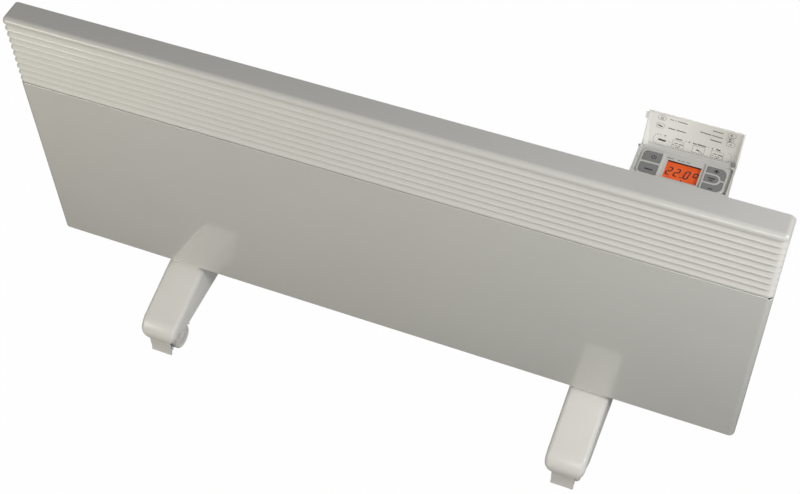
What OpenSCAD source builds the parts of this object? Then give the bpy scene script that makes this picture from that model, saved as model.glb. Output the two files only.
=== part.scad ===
// Slim electric panel convector heater on two castor feet.
// Origin: on the floor under the middle of the casing. +X runs along the width, the front faces -Y, +Z is up.

/* [Casing] */
// Width of the casing
casing_w = 1070; // [900:5:1250]
// Height of the casing
casing_h = 440; // [420:5:480]
// Depth of the casing
casing_d = 37; // [35:0.5:44]
// Radius of the casing's rounded edges
edge_r = 8; // [7:0.5:9]
// Thickness of the casing's steel sheet
sheet_t = 1.2; // [0.9:0.1:1.5]
// Height of the casing's underside above the floor
casing_lift = 110; // [106:1:125]

/* [Louvre band] */
// Number of open slats
slat_count = 9; // [6:1:11]
// Height from one slat to the next
slat_pitch = 11.8; // [10:0.1:13]
// How far a slat leans out from its top to its lip
slat_lean = 5; // [4:0.25:5.5]
// Thickness of a slat
slat_t = 1.4; // [1.1:0.1:1.6]
// Height of the upright lip along a slat's lower edge
slat_lip = 3.5; // [1.5:0.25:5]
// Height of the thin rail under the last slat
rail_h = 3.6; // [3:0.1:6]
// Number of comb ribs that carry the slats along the front
comb_count = 11; // [5:1:15]
// Thickness of a comb rib
comb_t = 2; // [1.5:0.1:3]

/* [Back panel] */
// Distance between the wall slots along the width
wall_slot_x = 600; // [500:10:620]
// Distance between the wall slots in height
wall_slot_z = 250; // [200:10:280]
// Height of the lower wall slots above the casing's underside
wall_slot_low = 95; // [60:5:110]
// Length of a wall slot
wall_slot_len = 16; // [12:1:24]
// Half the width of a wall slot
wall_slot_r = 3.2; // [2.5:0.1:4]

/* [Air inlet] */
// Width of an inlet slot
inlet_slot_w = 3.6; // [2.5:0.1:3.9]
// Length of an inlet slot, front to back
inlet_slot_len = 20; // [14:1:22]
// Distance between inlet slots
inlet_pitch = 10; // [8:0.5:16]

/* [Heating element] */
// Length of the finned body
element_len = 860; // [700:10:880]
// Depth of the finned body, front to back
element_d = 20; // [16:0.5:21]
// Height of the finned body
element_h = 62; // [50:1:80]
// Height of the element's axis above the casing's underside
element_lift = 92; // [80:1:120]
// Radius of the sheathed rod
rod_r = 4; // [3:0.1:4.5]
// Distance between the cuts in the fins
fin_pitch = 20; // [14:1:40]

/* [Control unit] */
// Width of the control unit
ctl_w = 119.5; // [116:0.5:128]
// Depth of the control unit behind the casing
ctl_d = 48; // [47:0.5:54]
// Distance of the unit's middle from the casing's middle
ctl_x = 390; // [340:5:395]
// Height of the control unit
ctl_h = 104; // [98:1:120]
// Wall of the plastic mouldings
ctl_wall = 2; // [1.6:0.1:2.4]
// Depth of the fascia below the rim
fascia_drop = 3; // [2.5:0.1:4]
// Width of the display window
lcd_w = 42; // [38:0.5:44]
// Depth of the display window, front to back
lcd_d = 29; // [24:0.5:30]
// Travel of a button
button_travel = 0.8; // [0.5:0.1:1]
// Gap round a button
button_gap = 0.4; // [0.3:0.05:0.6]
// Length of the lid from its pin to its free edge
lid_len = 44; // [41:0.5:47]
// Angle that the lid turns from shut to open
lid_open = 117; // [100:1:125]
// Radius of the lid's hinge pin
lid_pin_r = 1; // [0.8:0.1:1.2]

/* [Feet] */
// Width of a foot
foot_w = 60; // [54:1:70]
// Reach of a foot from the casing's middle to its nose
foot_reach = 126; // [118:1:140]
// Distance between the two feet
foot_spacing = 650; // [500:10:750]
// Fall of a foot's top towards its nose, in degrees
foot_fall = 16.5; // [12:0.5:18]
// Height of a foot's lower edge above the floor
foot_low = 48; // [47.5:0.5:50]
// Radius of a foot's nose seen from the side
nose_r = 30; // [24:1:34]
// Radius of a foot's long edges
foot_edge_r = 8; // [6:0.5:9]
// Wall of a foot
foot_wall = 3; // [2.5:0.1:3.5]

/* [Castors] */
// Radius of a wheel
wheel_r = 20; // [18:0.5:20.5]
// Width of a wheel
wheel_w = 16; // [13:0.5:17]
// Distance of the wheel axle behind the stem
trail = 14; // [12:0.5:16]
// Distance of a stem from the foot's nose
stem_inset = 23; // [22:0.5:30]
// Radius of a stem
stem_r = 4; // [3.5:0.1:4.5]
// Radius of a wheel axle
axle_r = 3; // [2.5:0.1:3.4]
// Width of a brake pedal
pedal_w = 34; // [30:1:38]

/* [Fits] */
// Clearance between parts that fit inside each other
fit_gap = 0.3; // [0.2:0.05:0.4]
// Running clearance round pins and stems
run_gap = 0.05; // [0.03:0.01:0.08]
// Clearance round pressed pins and rods
press_gap = 0.02; // [0.01:0.01:0.03]

/* [Hidden] */
$fn = 48;

panel_white = "#dcdbd6";
slat_white = "#e2e1dc";
plastic_white = "#dfdedb";
fascia_grey = "#cfcfcd";
button_grey = "#8f8f8d";
lid_grey = "#d9d7d3";
foot_white = "#e0dfdc";
steel = "#a9abad";
zinc = "#b8bcbf";

// Casing, worked out from the sizes above
base_z = casing_lift;
top_z = casing_lift + casing_h;
back_y = casing_d / 2;
core_x = casing_w / 2 - edge_r;
core_y = casing_d / 2 - edge_r;
inner_x = casing_w / 2 - sheet_t;
slat_top_z = top_z - edge_r - 1;
slat_low_z = slat_top_z - slat_count * slat_pitch;
rail_low_z = slat_low_z - rail_h;
panel_top_z = rail_low_z - 0.5;
slat_overlap = 1.2;
comb_in = 0.8;
comb_out = edge_r - slat_lean + slat_t - 0.2;
return_in = 0.8;
flange_w = 12;
bend_r = 3;
screw_r = 1.6;
screw_head_r = 3.2;
plate_front_y = -casing_d / 2 + bend_r + fit_gap;
plate_back_y = back_y - sheet_t - fit_gap;

// Inside the casing
shield_y = back_y - 7;
shield_low_z = base_z + 24;
shield_high_z = base_z + casing_h * 0.72;
element_y = shield_y - sheet_t - 2.2 - element_d / 2;
element_z = base_z + element_lift;
rod_half = element_len / 2 + 34;
bracket_x = element_len / 2 + 14;
bracket_t = 1.5;
shield_half = bracket_x - bracket_t / 2 - 12.5;
bush_r = rod_r + 3.5;
cutout_x = element_len / 2 - 130;
cutout_z = element_z + element_h / 2 + 38;
sensor_x = casing_w / 2 - 110;
sensor_z = base_z + 2 * sheet_t;
block_x = casing_w / 2 - 44;
block_z = shield_high_z + 16;
block_h = 18;
hem_d = 9;
standoff_w = 16;
standoff_h = 6;
lead_r = 1.8;
cable_r = 2.6;

// Control unit
ctl_left = ctl_x - ctl_w / 2;
ctl_back_y = back_y + ctl_d;
ctl_low_z = top_z - ctl_h;
ctl_slope = 0.41;
ctl_foot_d = 18;
ctl_knee_z = top_z - (ctl_d - ctl_foot_d) / ctl_slope;
ctl_corner_r = 4;
rim_z = top_z;
fascia_z = rim_z - fascia_drop;
fascia_t = 2;
fascia_low_z = fascia_z - fascia_t;
board_z = fascia_low_z - 7;
board_t = 1.6;
flange_t = 1.2;
flange_gap = 0.3;
button_proud = 1.2;
switch_h = 3.8;
stem_low_z = board_z + switch_h + button_travel + 0.3;
wire_hole_r = 6;
wire_hole_z = ctl_low_z + 42;
gland_y = back_y + ctl_foot_d / 2;
gland_r = 6;
cord_r = 3.6;
gland_len = 16;
post_r = 1.7;
post_y = [6.5, 36.5];

// Places on the fascia: x from the unit's left edge, y from the casing's back
mid_y = 22.6;
key_x = 8.5;
key_w = 22.3;
key_h = 16.8;
key_r = 5;
key_space = 3.2;
lcd_x = 38.8;
lcd_y = 6.6;
lcd_rim = 1.2;
cluster_x = 87;
cluster_w = 24;
cluster_h = 38;
cluster_r = 8.5;
ok_h = 12.4;
ok_w = 17.2;
rib_w = 2.6;
post_x = [(key_x + key_w + lcd_x) / 2, (lcd_x + lcd_w + cluster_x) / 2];
screw_small_r = 0.8;
key_flange = 0.8;

// Lid
lid_t = 1.6;
lid_back = 1.5;
lid_drop = 6;
lid_rear_h = 6;
lid_front_h = 1.5;
lid_cove_r = 4;
lid_pin_y = ctl_back_y + lid_back;
lid_pin_z = rim_z - lid_drop;
ear_r = 2.6;
ear_w = 4;
barrel_r = 2.4;
barrel_w = ctl_w - 2 * (ear_w + fit_gap);
lid_half = ctl_w / 2 - 0.3;
lid_seat = rim_z + fit_gap - lid_pin_z;

// Feet and castors
foot_x = foot_spacing / 2;
foot_top_z = casing_lift - 3.1;
foot_half = foot_w / 2;
pad_w = 44;
pad_d = 26;
stem_y = foot_reach - stem_inset;
socket_r = stem_r + 1.6;
socket_low_z = foot_low + 0.6;
socket_h = 22.4;
socket_high_z = socket_low_z + socket_h;
boss_wall = 2.6;
foot_screw_x = 14;
foot_screw_r = 2.5;
foot_screw_head_r = 4.8;
foot_screw_head_h = 3;
foot_screw_seat = 12;
foot_pad_h = 20;
web_w = 10;
wheel_gap = 0.4;
hood_gap = 1.2;
hood_t = 2.2;
hood_w = web_w + 2 * (wheel_gap + wheel_w + 0.5);
stem_boss_r = 7.5;
collar_r = 6.4;
collar_t = 1.6;
fork_top_z = socket_low_z - fit_gap - collar_t;
pedal_pivot_y = -12;
pedal_pivot_z = 36;
pedal_pin_r = 1.5;
pedal_t = 2.4;
pedal_front = 18.4;
ear_gap = 0.3;

// Points of an arc, from one angle to another
function arc(cx, cy, r, from, to, steps) =
    [for (i = [0 : steps]) let (a = from + (to - from) * i / steps) [cx + r * cos(a), cy + r * sin(a)]];

// Outline of a block with four corner radii, anticlockwise from the lower left
function block_points(x0, y0, x1, y1, r) = concat(
    arc(x0 + r[0], y0 + r[0], r[0], 180, 270, 8), arc(x1 - r[1], y0 + r[1], r[1], 270, 360, 8),
    arc(x1 - r[2], y1 - r[2], r[2], 0, 90, 8), arc(x0 + r[3], y1 - r[3], r[3], 90, 180, 8));

// A profile carried along the front and round both ends of the casing; its x runs outwards from the corner centres
module wrap_casing(end_y) {
    translate([core_x, -core_y, 0]) rotate([90, 0, -90]) linear_extrude(2 * core_x) children();
    for (side = [0, 1]) mirror([side, 0, 0]) translate([core_x, 0, 0]) {
        translate([0, -core_y, 0]) rotate([0, 0, -90]) rotate_extrude(angle = 90) children();
        translate([0, end_y, 0]) rotate([90, 0, 0]) linear_extrude(end_y + core_y) children();
    }
}

module bullnose_profile() {
    translate([0, top_z - edge_r]) intersection() {
        difference() {
            circle(edge_r);
            circle(edge_r - sheet_t);
        }
        square(edge_r);
    }
    translate([edge_r - sheet_t, slat_top_z]) square([sheet_t, top_z - edge_r - slat_top_z]);
}

// One leaning blade whose lip hangs at low_z and whose top tucks behind the blade above
module slat_profile(low_z, high_z, lip) {
    polygon([
        [edge_r - slat_lean, high_z + slat_overlap],
        [edge_r - slat_lean + slat_t, high_z + slat_overlap],
        [edge_r, low_z + lip],
        [edge_r, low_z],
        [edge_r - slat_t, low_z],
        [edge_r - slat_t, low_z + lip]]);
}

module top_grille() color(slat_white) difference() {
    top_grille_body();
    at_panel_screws() rotate([90, 0, 0]) cylinder(r = screw_r + press_gap, h = 8 * sheet_t, center = true);
}

module top_grille_body() {
    translate([-core_x, -core_y, top_z - sheet_t]) cube([2 * core_x, core_y + back_y, sheet_t]);
    wrap_casing(back_y) bullnose_profile();
    for (i = [0 : slat_count - 1])
        wrap_casing(back_y) slat_profile(slat_top_z - (i + 1) * slat_pitch, slat_top_z - i * slat_pitch, slat_lip);
    wrap_casing(back_y) slat_profile(rail_low_z, slat_low_z, rail_h / 2);
    // Comb ribs behind the blades
    for (i = [0 : comb_count - 1])
        translate([(i / (comb_count - 1) - 0.5) * (2 * core_x - comb_t) - comb_t / 2, -core_y - comb_out, rail_low_z])
            cube([comb_t, comb_out - comb_in, top_z - sheet_t - rail_low_z]);
    // End jambs and the fold behind the top plate
    for (side = [-1, 1]) translate([side * (core_x + comb_in + (edge_r - comb_in) / 2), back_y - comb_t / 2, 0])
        translate([-(edge_r - comb_in) / 2, -comb_t / 2, rail_low_z])
            cube([edge_r - comb_in, comb_t, top_z - edge_r - rail_low_z]);
    translate([-core_x, back_y - 2 * sheet_t - fit_gap, top_z - sheet_t - flange_w])
        cube([2 * core_x, sheet_t, flange_w]);
}

module front_panel() color(panel_white) {
    difference() {
        wrap_casing(back_y) {
            translate([edge_r - sheet_t, base_z + bend_r]) square([sheet_t, panel_top_z - base_z - bend_r]);
            translate([edge_r - bend_r, base_z + bend_r]) intersection() {
                difference() {
                    circle(bend_r);
                    circle(bend_r - sheet_t);
                }
                translate([0, -bend_r]) square(bend_r);
            }
            translate([return_in, base_z]) square([edge_r - bend_r - return_in, sheet_t]);
            translate([edge_r - slat_lean, panel_top_z - sheet_t]) square([slat_lean, sheet_t]);
        }
        // Small relief notches where the upper edge turns the corners
        for (side = [-1, 1]) translate([side * core_x, -core_y, panel_top_z]) rotate([0, 0, -side * 45])
            translate([-2, -edge_r - 1, -1.6]) cube([4, 4, 3]);
    }
    // Flanges at the back that the back panel screws to
    difference() {
        for (side = [-1, 1]) translate([side * (inner_x - flange_w / 2), back_y - 1.5 * sheet_t - fit_gap, 0])
            translate([-flange_w / 2 - 0.1, -sheet_t / 2, base_z + 2 * sheet_t + 2 * fit_gap])
                cube([flange_w + 0.2, sheet_t, panel_top_z - base_z - 3 * sheet_t - 2 * fit_gap]);
        at_panel_screws() rotate([90, 0, 0]) cylinder(r = screw_r + press_gap, h = 8 * sheet_t, center = true);
    }
}

// Places of the four wall slots
module at_wall_slots() {
    for (x = [-1, 1], z = [0, 1])
        translate([x * wall_slot_x / 2, back_y, base_z + wall_slot_low + z * wall_slot_z]) children();
}

// Places of the screws round the back panel
module at_panel_screws() {
    for (x = [-0.45, -0.15, 0.15]) translate([x * casing_w, back_y, top_z - sheet_t - flange_w / 2]) children();
    for (x = [-1, 1], z = [0.12, 0.6])
        translate([x * (inner_x - flange_w / 2), back_y, base_z + z * (panel_top_z - base_z)]) children();
}

// Places of the four screws that hold the control housing
module at_housing_screws() {
    for (x = [-1, 1], z = [0.3, 0.72])
        translate([ctl_x + x * (ctl_w / 2 - 12), back_y, ctl_low_z + z * ctl_h]) children();
}

module back_panel() color(zinc) {
    half = inner_x - fit_gap;
    upper_half = core_x + comb_in - fit_gap;
    swage_h = 12;
    swage_d = 1.6;
    difference() {
        union() {
            translate([-half, back_y - sheet_t, base_z + bend_r + fit_gap])
                cube([2 * half, sheet_t, panel_top_z - sheet_t - base_z - bend_r - 2 * fit_gap]);
            translate([-upper_half, back_y - sheet_t, base_z + fit_gap])
                cube([2 * upper_half, sheet_t, casing_h - sheet_t - 2 * fit_gap]);
            // Folded lower edge
            translate([-upper_half, back_y - 7, base_z + fit_gap]) cube([2 * upper_half, 7, sheet_t]);
            // Inner side of the pressed swages
            for (z = [0.34, 0.5]) translate([-half * 0.8, back_y - sheet_t - swage_d, base_z + z * casing_h])
                cube([1.4 * half, swage_d + 0.1, swage_h]);
        }
        for (z = [0.34, 0.5]) translate([-half * 0.8 + sheet_t, back_y - swage_d, base_z + z * casing_h + sheet_t])
            cube([1.4 * half - 2 * sheet_t, swage_d + 1, swage_h - 2 * sheet_t]);
        at_wall_slots() rotate([90, 0, 0]) linear_extrude(3 * sheet_t, center = true) {
            square([wall_slot_len - 2 * wall_slot_r, 2 * wall_slot_r], center = true);
            for (x = [-1, 1]) translate([x * (wall_slot_len / 2 - wall_slot_r), 0]) circle(wall_slot_r);
        }
        at_panel_screws() rotate([90, 0, 0]) cylinder(r = screw_r + fit_gap, h = 3 * sheet_t, center = true);
        at_housing_screws() rotate([90, 0, 0]) cylinder(r = screw_r + fit_gap, h = 3 * sheet_t, center = true);
        translate([ctl_x, back_y, wire_hole_z]) rotate([90, 0, 0]) cylinder(r = wire_hole_r, h = 3 * sheet_t, center = true);
    }
}

module inlet_grille() color(zinc) {
    half = inner_x - flange_w - 2 * fit_gap;
    slots = floor((2 * half - 30) / inlet_pitch);
    plate_z = base_z + sheet_t + fit_gap;
    difference() {
        translate([-half, plate_front_y, plate_z]) cube([2 * half, plate_back_y - plate_front_y, sheet_t]);
        for (i = [0 : slots]) {
            x = (i - slots / 2) * inlet_pitch;
            if (abs(abs(x) - foot_x) > foot_half) translate([x - inlet_slot_w / 2, -inlet_slot_len / 2, plate_z - 1])
                cube([inlet_slot_w, inlet_slot_len, sheet_t + 2]);
        }
        for (side = [-1, 1], x = [-1, 1]) translate([side * foot_x + x * foot_screw_x, 0, plate_z - 1])
            cylinder(r = foot_screw_r, h = sheet_t + 2);
    }
    // Seats under the plate that take up the fold of the casing and meet the feet
    for (side = [-1, 1]) translate([side * foot_x, 0, 0]) difference() {
        translate([-pad_w / 2, -pad_d / 2 + 2, base_z + fit_gap / 2])
            cube([pad_w, pad_d - 4, plate_z - base_z - fit_gap / 2 + 0.01]);
        for (x = [-1, 1]) translate([x * foot_screw_x, 0, base_z - 1]) cylinder(r = foot_screw_r, h = 8);
    }
}

// A pan-head screw along +Z whose head sits at the origin
module pan_screw(r, head_r, head_h, len) {
    translate([0, 0, -len]) cylinder(r = r, h = len + 0.01);
    difference() {
        cylinder(r1 = head_r, r2 = head_r * 0.72, h = head_h);
        for (a = [0, 90]) rotate([0, 0, a]) translate([-head_r * 0.55, -0.4, head_h * 0.45]) cube([head_r * 1.1, 0.8, head_h]);
    }
}

module panel_screws() color(steel) {
    at_panel_screws() rotate([-90, 0, 0]) pan_screw(screw_r, screw_head_r, 1.8, 2 * sheet_t + fit_gap + 2);
}

module heat_shield() color(zinc) {
    translate([-shield_half, shield_y - sheet_t, shield_low_z])
        cube([2 * shield_half, sheet_t, shield_high_z - shield_low_z]);
    // Top hem leaning forwards under the louvres, and stand-off feet on the back panel
    translate([-shield_half, shield_y - hem_d, shield_high_z - sheet_t]) cube([2 * shield_half, hem_d, sheet_t]);
    for (x = [-0.92, -0.3, 0.3, 0.92], z = [0.06, 0.9])
        translate([x * shield_half - standoff_w / 2, shield_y - 0.1, shield_low_z + z * (shield_high_z - shield_low_z)])
            cube([standoff_w, plate_back_y - shield_y + 0.1, standoff_h]);
}

// Four-armed fin section of the element, seen along its length
module element_profile() {
    lean = 24;
    difference() {
        intersection() {
            square([element_d, element_h], center = true);
            union() {
                for (s = [-1, 1]) rotate([0, 0, s * lean]) square([3, element_h * 1.3], center = true);
                square([2.4, element_h], center = true);
                square([element_d, 2.4], center = true);
                circle(rod_r + 3);
            }
        }
        circle(rod_r + press_gap);
    }
}

module heating_element() color("#9b9fa3") {
    cuts = floor(element_len / 2 / fin_pitch) - 1;
    translate([0, element_y, element_z]) difference() {
        rotate([90, 0, 90]) linear_extrude(element_len, center = true) element_profile();
        for (i = [-cuts : cuts], s = [-1, 1])
            translate([i * fin_pitch - 1.5, -element_d, s > 0 ? rod_r + 5 : -element_h]) cube([3, 2 * element_d, element_h - rod_r - 5]);
    }
}

module element_rod() color("#6f7275") {
    translate([0, element_y, element_z]) {
        rotate([0, 90, 0]) cylinder(r = rod_r, h = 2 * rod_half, center = true);
        for (s = [-1, 1]) translate([s * (rod_half + 2.5), 0, 0]) rotate([0, 90, 0]) {
            cylinder(r = rod_r - 1, h = 5.02, center = true);
            translate([0, 0, s * 5]) cylinder(r = 1.2, h = 6, center = true);
        }
    }
}

module element_bushes() color("#c9b9a0") {
    for (s = [-1, 1]) translate([s * bracket_x, element_y, element_z]) rotate([0, 90, 0]) difference() {
        union() {
            cylinder(r = bush_r, h = bracket_t + 6, center = true);
            translate([0, 0, s * 3.2]) cylinder(r = bush_r + 2, h = 3, center = true);
        }
        cylinder(r = rod_r + press_gap, h = 20, center = true);
    }
}

module element_brackets() color(zinc) {
    foot_h = 14;
    for (s = [-1, 1]) translate([s * bracket_x, 0, element_z]) {
        difference() {
            translate([-bracket_t / 2, element_y - element_d / 2, -element_h / 2])
                cube([bracket_t, plate_back_y - element_y + element_d / 2, element_h]);
            translate([0, element_y, 0]) rotate([0, 90, 0]) cylinder(r = bush_r + press_gap, h = 10, center = true);
        }
        for (z = [-element_h / 2, element_h / 2 - foot_h])
            translate([s > 0 ? -bracket_t / 2 : bracket_t / 2 - 12, plate_back_y - sheet_t, z]) cube([12, sheet_t, foot_h]);
        for (z = [-element_h / 2, element_h / 2 - 3])
            translate([-bracket_t / 2, element_y - element_d / 2, z]) cube([bracket_t, 4, 3]);
    }
}

module overheat_cutout() color("#3a3a3c") {
    translate([cutout_x, shield_y - sheet_t, cutout_z]) rotate([90, 0, 0]) {
        cylinder(r = 11, h = 1.2);
        cylinder(r = 8, h = 8);
        for (x = [-1, 1]) translate([x * 4.5 - 0.4, -3, 7.9]) cube([0.8, 6, 7]);
    }
}

module air_sensor() color("#d9d9d6") {
    translate([sensor_x, 0, sensor_z + fit_gap]) {
        translate([-6, -4, 0]) cube([12, 8, 3]);
        translate([0, 0, 2.9]) cylinder(r = 2.4, h = 14);
        translate([0, 0, 16.9]) sphere(r = 2.4);
    }
}

module terminal_block() color("#e4e1d8") {
    ways = 3;
    way_w = 12;
    translate([block_x - 24, plate_back_y - 15, block_z]) difference() {
        cube([way_w * ways, 15, block_h]);
        for (i = [0 : ways - 1]) translate([way_w * (i + 0.5), 0, 0]) {
            translate([0, 4, block_h / 2]) rotate([90, 0, 0]) cylinder(r = 2.6, h = 10);
            translate([0, 9, -1]) cylinder(r = 1.6, h = 8);
        }
        for (i = [1 : ways - 1]) translate([way_w * i - 0.6, -1, -1]) cube([1.2, 5, block_h + 2]);
    }
}

// A tube of flat sides along a row of points, with its rings square to the route
module wire(points, r, sides = 8) {
    last = len(points) - 1;
    function unit(v) = v / norm(v);
    function heading(i) = unit(points[min(i + 1, last)] - points[max(i - 1, 0)]);
    function across(i) = let (h = heading(i)) unit(cross(h, abs(h.z) < 0.8 ? [0, 0, 1] : [0, 1, 0]));
    rings = [for (i = [0 : last]) let (h = heading(i), u = across(i), v = cross(h, u))
        for (k = [0 : sides - 1]) points[i] + r * cos(360 * k / sides) * u + r * sin(360 * k / sides) * v];
    ends = [[for (k = [0 : sides - 1]) k], [for (k = [sides - 1 : -1 : 0]) last * sides + k]];
    skin = [for (i = [0 : last - 1], k = [0 : sides - 1]) let (a = i * sides + k, b = i * sides + (k + 1) % sides)
        [a, a + sides, b + sides, b]];
    polyhedron(concat(rings), concat(ends, skin), convexity = 6);
}

// Route of the leads: from the rod's end up beside the shield to the terminal block, then through the back
// into the control unit
rod_end_x = rod_half + 10.5;
lead_x = (rod_end_x + inner_x) / 2;
lead_y = plate_back_y - 6;
way_x = block_x - 6;
block_top_z = block_z + block_h;
element_lead = [
    [rod_end_x + 0.3, element_y, element_z], [(rod_end_x + lead_x) / 2, element_y, element_z + 1],
    [lead_x - 2, element_y, element_z + 8], [lead_x, element_y, element_z + 20],
    [lead_x, element_y + 1, element_z + 45], [lead_x, lead_y - 3, shield_high_z - 30],
    [(lead_x + way_x) / 2, lead_y - 2.5, shield_high_z - 2], [way_x, lead_y - 2, shield_high_z + 8],
    [way_x, lead_y - 2, block_z - 0.3]];
control_lead = [
    [way_x, lead_y - 2, block_top_z + 0.3], [way_x, lead_y - 2, block_top_z + 6],
    [way_x - 8, lead_y - 3, block_top_z + 13], [ctl_x + 50, lead_y - 3, block_top_z + 19],
    [ctl_x + 20, lead_y - 3, wire_hole_z - 6], [ctl_x + 6, lead_y - 2, wire_hole_z - 2],
    [ctl_x, lead_y + 3, wire_hole_z], [ctl_x, back_y + 3, wire_hole_z], [ctl_x, back_y + 10, wire_hole_z + 4],
    [ctl_x, back_y + 13, wire_hole_z + 12]];

module wiring_loom() color("#b5482f") {
    wire(element_lead, lead_r);
    wire(control_lead, cable_r);
}

// Side view of the control housing, x = distance behind the casing, y = height
module housing_side(inset, low, high) {
    polygon([
        [inset, low + inset], [ctl_foot_d - inset, low + inset],
        [ctl_foot_d - inset, ctl_knee_z],
        [ctl_d - inset - (rim_z - high) * ctl_slope, high], [inset, high]]);
}

module housing_block(inset, low, high) {
    intersection() {
        translate([ctl_left + inset, back_y, 0]) rotate([90, 0, 90]) linear_extrude(ctl_w - 2 * inset)
            housing_side(inset, low, high);
        r = ctl_corner_r - inset;
        translate([0, 0, low - 1]) linear_extrude(high - low + 2) union() {
            translate([ctl_left + inset, back_y]) square([ctl_w - 2 * inset, ctl_d - ctl_corner_r]);
            translate([ctl_left + ctl_corner_r, back_y]) square([ctl_w - 2 * ctl_corner_r, ctl_d - inset]);
            for (x = [ctl_left + ctl_corner_r, ctl_left + ctl_w - ctl_corner_r])
                translate([x, ctl_back_y - ctl_corner_r]) circle(r);
        }
    }
}

// How far back the housing's sloping rear wall reaches at a height
function back_at(z) = ctl_back_y - (rim_z - z) * ctl_slope;

module control_housing() color(plastic_white) {
    ledge_w = 1.8;
    difference() {
        union() {
            difference() {
                housing_block(0, ctl_low_z, rim_z);
                housing_block(ctl_wall, ctl_low_z, rim_z + 1);
            }
            // Ledges under the fascia
            intersection() {
                housing_block(ctl_wall - 0.1, ctl_low_z, rim_z);
                for (x = [ctl_left + ctl_wall - 0.1, ctl_left + ctl_w - ctl_wall - ledge_w + 0.1])
                    translate([x, back_y + 4, fascia_low_z - 4]) cube([ledge_w, ctl_d - 10, 4]);
            }
            // Ears for the lid's pin
            for (x = [ctl_left, ctl_left + ctl_w - ear_w]) translate([x, 0, 0]) {
                translate([0, lid_pin_y, lid_pin_z]) rotate([0, 90, 0]) cylinder(r = ear_r, h = ear_w);
                rotate([90, 0, 90]) linear_extrude(ear_w) polygon([
                    [back_at(lid_pin_z - ear_r) - 1.8, lid_pin_z - ear_r], [lid_pin_y, lid_pin_z - ear_r],
                    [lid_pin_y, lid_pin_z + ear_r], [back_at(lid_pin_z + ear_r) - 1.8, lid_pin_z + ear_r]]);
            }
            // Collar round the gland
            translate([ctl_x, gland_y, ctl_low_z + 1]) cylinder(r = gland_r + 1.6, h = 6);
        }
        // The rear wall is lower between the ears, where the fascia reaches over it
        translate([ctl_left + ear_w + fit_gap, ctl_back_y - 8, fascia_low_z - fit_gap]) cube([barrel_w, 9, ctl_h]);
        translate([ctl_x, gland_y, ctl_low_z - 1]) cylinder(r = gland_r + press_gap, h = 20);
        translate([ctl_x, back_y, wire_hole_z]) rotate([90, 0, 0]) cylinder(r = wire_hole_r, h = 4 * ctl_wall, center = true);
        at_housing_screws() rotate([90, 0, 0]) cylinder(r = screw_r + press_gap, h = 4 * ctl_wall, center = true);
        translate([ctl_left - 1, lid_pin_y, lid_pin_z]) rotate([0, 90, 0]) cylinder(r = lid_pin_r + press_gap, h = ctl_w + 2);
    }
}

// Outlines of the keys, grown by g for the holes round them
module key_outline(row, g) {
    y0 = mid_y + (row > 0 ? key_space / 2 : -key_space / 2 - key_h);
    r = key_r + g;
    small = 1.5 + g;
    radii = row > 0 ? [small, small, small, r] : [r, small, small, small];
    polygon(block_points(key_x - g, y0 - g, key_x + key_w + g, y0 + key_h + g, radii));
}

module ok_outline(g) {
    r = ok_h / 2 + g;
    tip_x = cluster_x + ok_w - ok_h / 2;
    translate([cluster_x - g, mid_y - r]) square([tip_x - cluster_x + g, 2 * r]);
    translate([tip_x, mid_y]) circle(r);
}

module step_outline(row, g) {
    r = cluster_r + g;
    radii = row > 0 ? [1 + g, 1 + g, r, 1 + g] : [1 + g, r, 1 + g, 1 + g];
    y0 = row > 0 ? mid_y + rib_w / 2 - g : mid_y - cluster_h / 2 - g;
    difference() {
        polygon(block_points(cluster_x - g, y0, cluster_x + cluster_w + g, y0 + cluster_h / 2 - rib_w / 2 + 2 * g, radii));
        ok_outline(rib_w - g);
    }
}

module any_outline(which, g) {
    if (which == "power") key_outline(1, g);
    if (which == "mode") key_outline(-1, g);
    if (which == "plus") step_outline(1, g);
    if (which == "ok") ok_outline(g);
    if (which == "minus") step_outline(-1, g);
}

keys = ["power", "mode", "plus", "ok", "minus"];
key_at = [[key_x + key_w / 2, mid_y + key_space / 2 + key_h / 2], [key_x + key_w / 2, mid_y - key_space / 2 - key_h / 2],
    [cluster_x + 9, mid_y + cluster_h / 2 - 6], [cluster_x + 8, mid_y], [cluster_x + 9, mid_y - cluster_h / 2 + 6]];

module on_fascia(z) translate([ctl_left, back_y, z]) children();
module at_posts() for (x = post_x, y = post_y) translate([x, y, 0]) children();

module control_fascia() color(fascia_grey) {
    inset = ctl_wall + fit_gap;
    difference() {
        union() {
            intersection() {
                housing_block(inset, ctl_low_z, rim_z);
                translate([ctl_left, back_y, fascia_low_z]) cube([ctl_w, ctl_d, fascia_t]);
            }
            // Rear strip over the housing's wall, up to the hinge
            translate([ctl_left + ear_w + 2 * fit_gap, ctl_back_y - 8, fascia_low_z])
                cube([barrel_w - 2 * fit_gap, back_at(fascia_low_z) - ctl_back_y + 8, fascia_t]);
            on_fascia(board_z) at_posts() cylinder(r = post_r, h = fascia_low_z - board_z + 0.01);
        }
        on_fascia(fascia_low_z - 1) linear_extrude(fascia_t + 2) for (k = keys) any_outline(k, button_gap);
        on_fascia(fascia_low_z - 1) translate([lcd_x, lcd_y, 0]) cube([lcd_w, lcd_d, fascia_t + 2]);
        on_fascia(board_z - 1) at_posts() cylinder(r = screw_small_r + press_gap, h = 5.5);
    }
}

module lcd_window() color([0.85, 0.9, 0.92, 0.35]) {
    on_fascia(fascia_low_z - 1) translate([lcd_x - lcd_rim, lcd_y - lcd_rim, 0]) cube([lcd_w + 2 * lcd_rim, lcd_d + 2 * lcd_rim, 1]);
}

module lcd_module() color("#e25f2d") {
    on_fascia(board_z) {
        translate([lcd_x - 1, lcd_y - 1, 0]) cube([lcd_w + 2, lcd_d + 2, fascia_low_z - 1 - board_z]);
        for (i = [0 : 9]) translate([lcd_x + 3 + i * 4, lcd_y - 1.6, 0]) cube([0.6, 0.7, 2]);
    }
}

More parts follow.
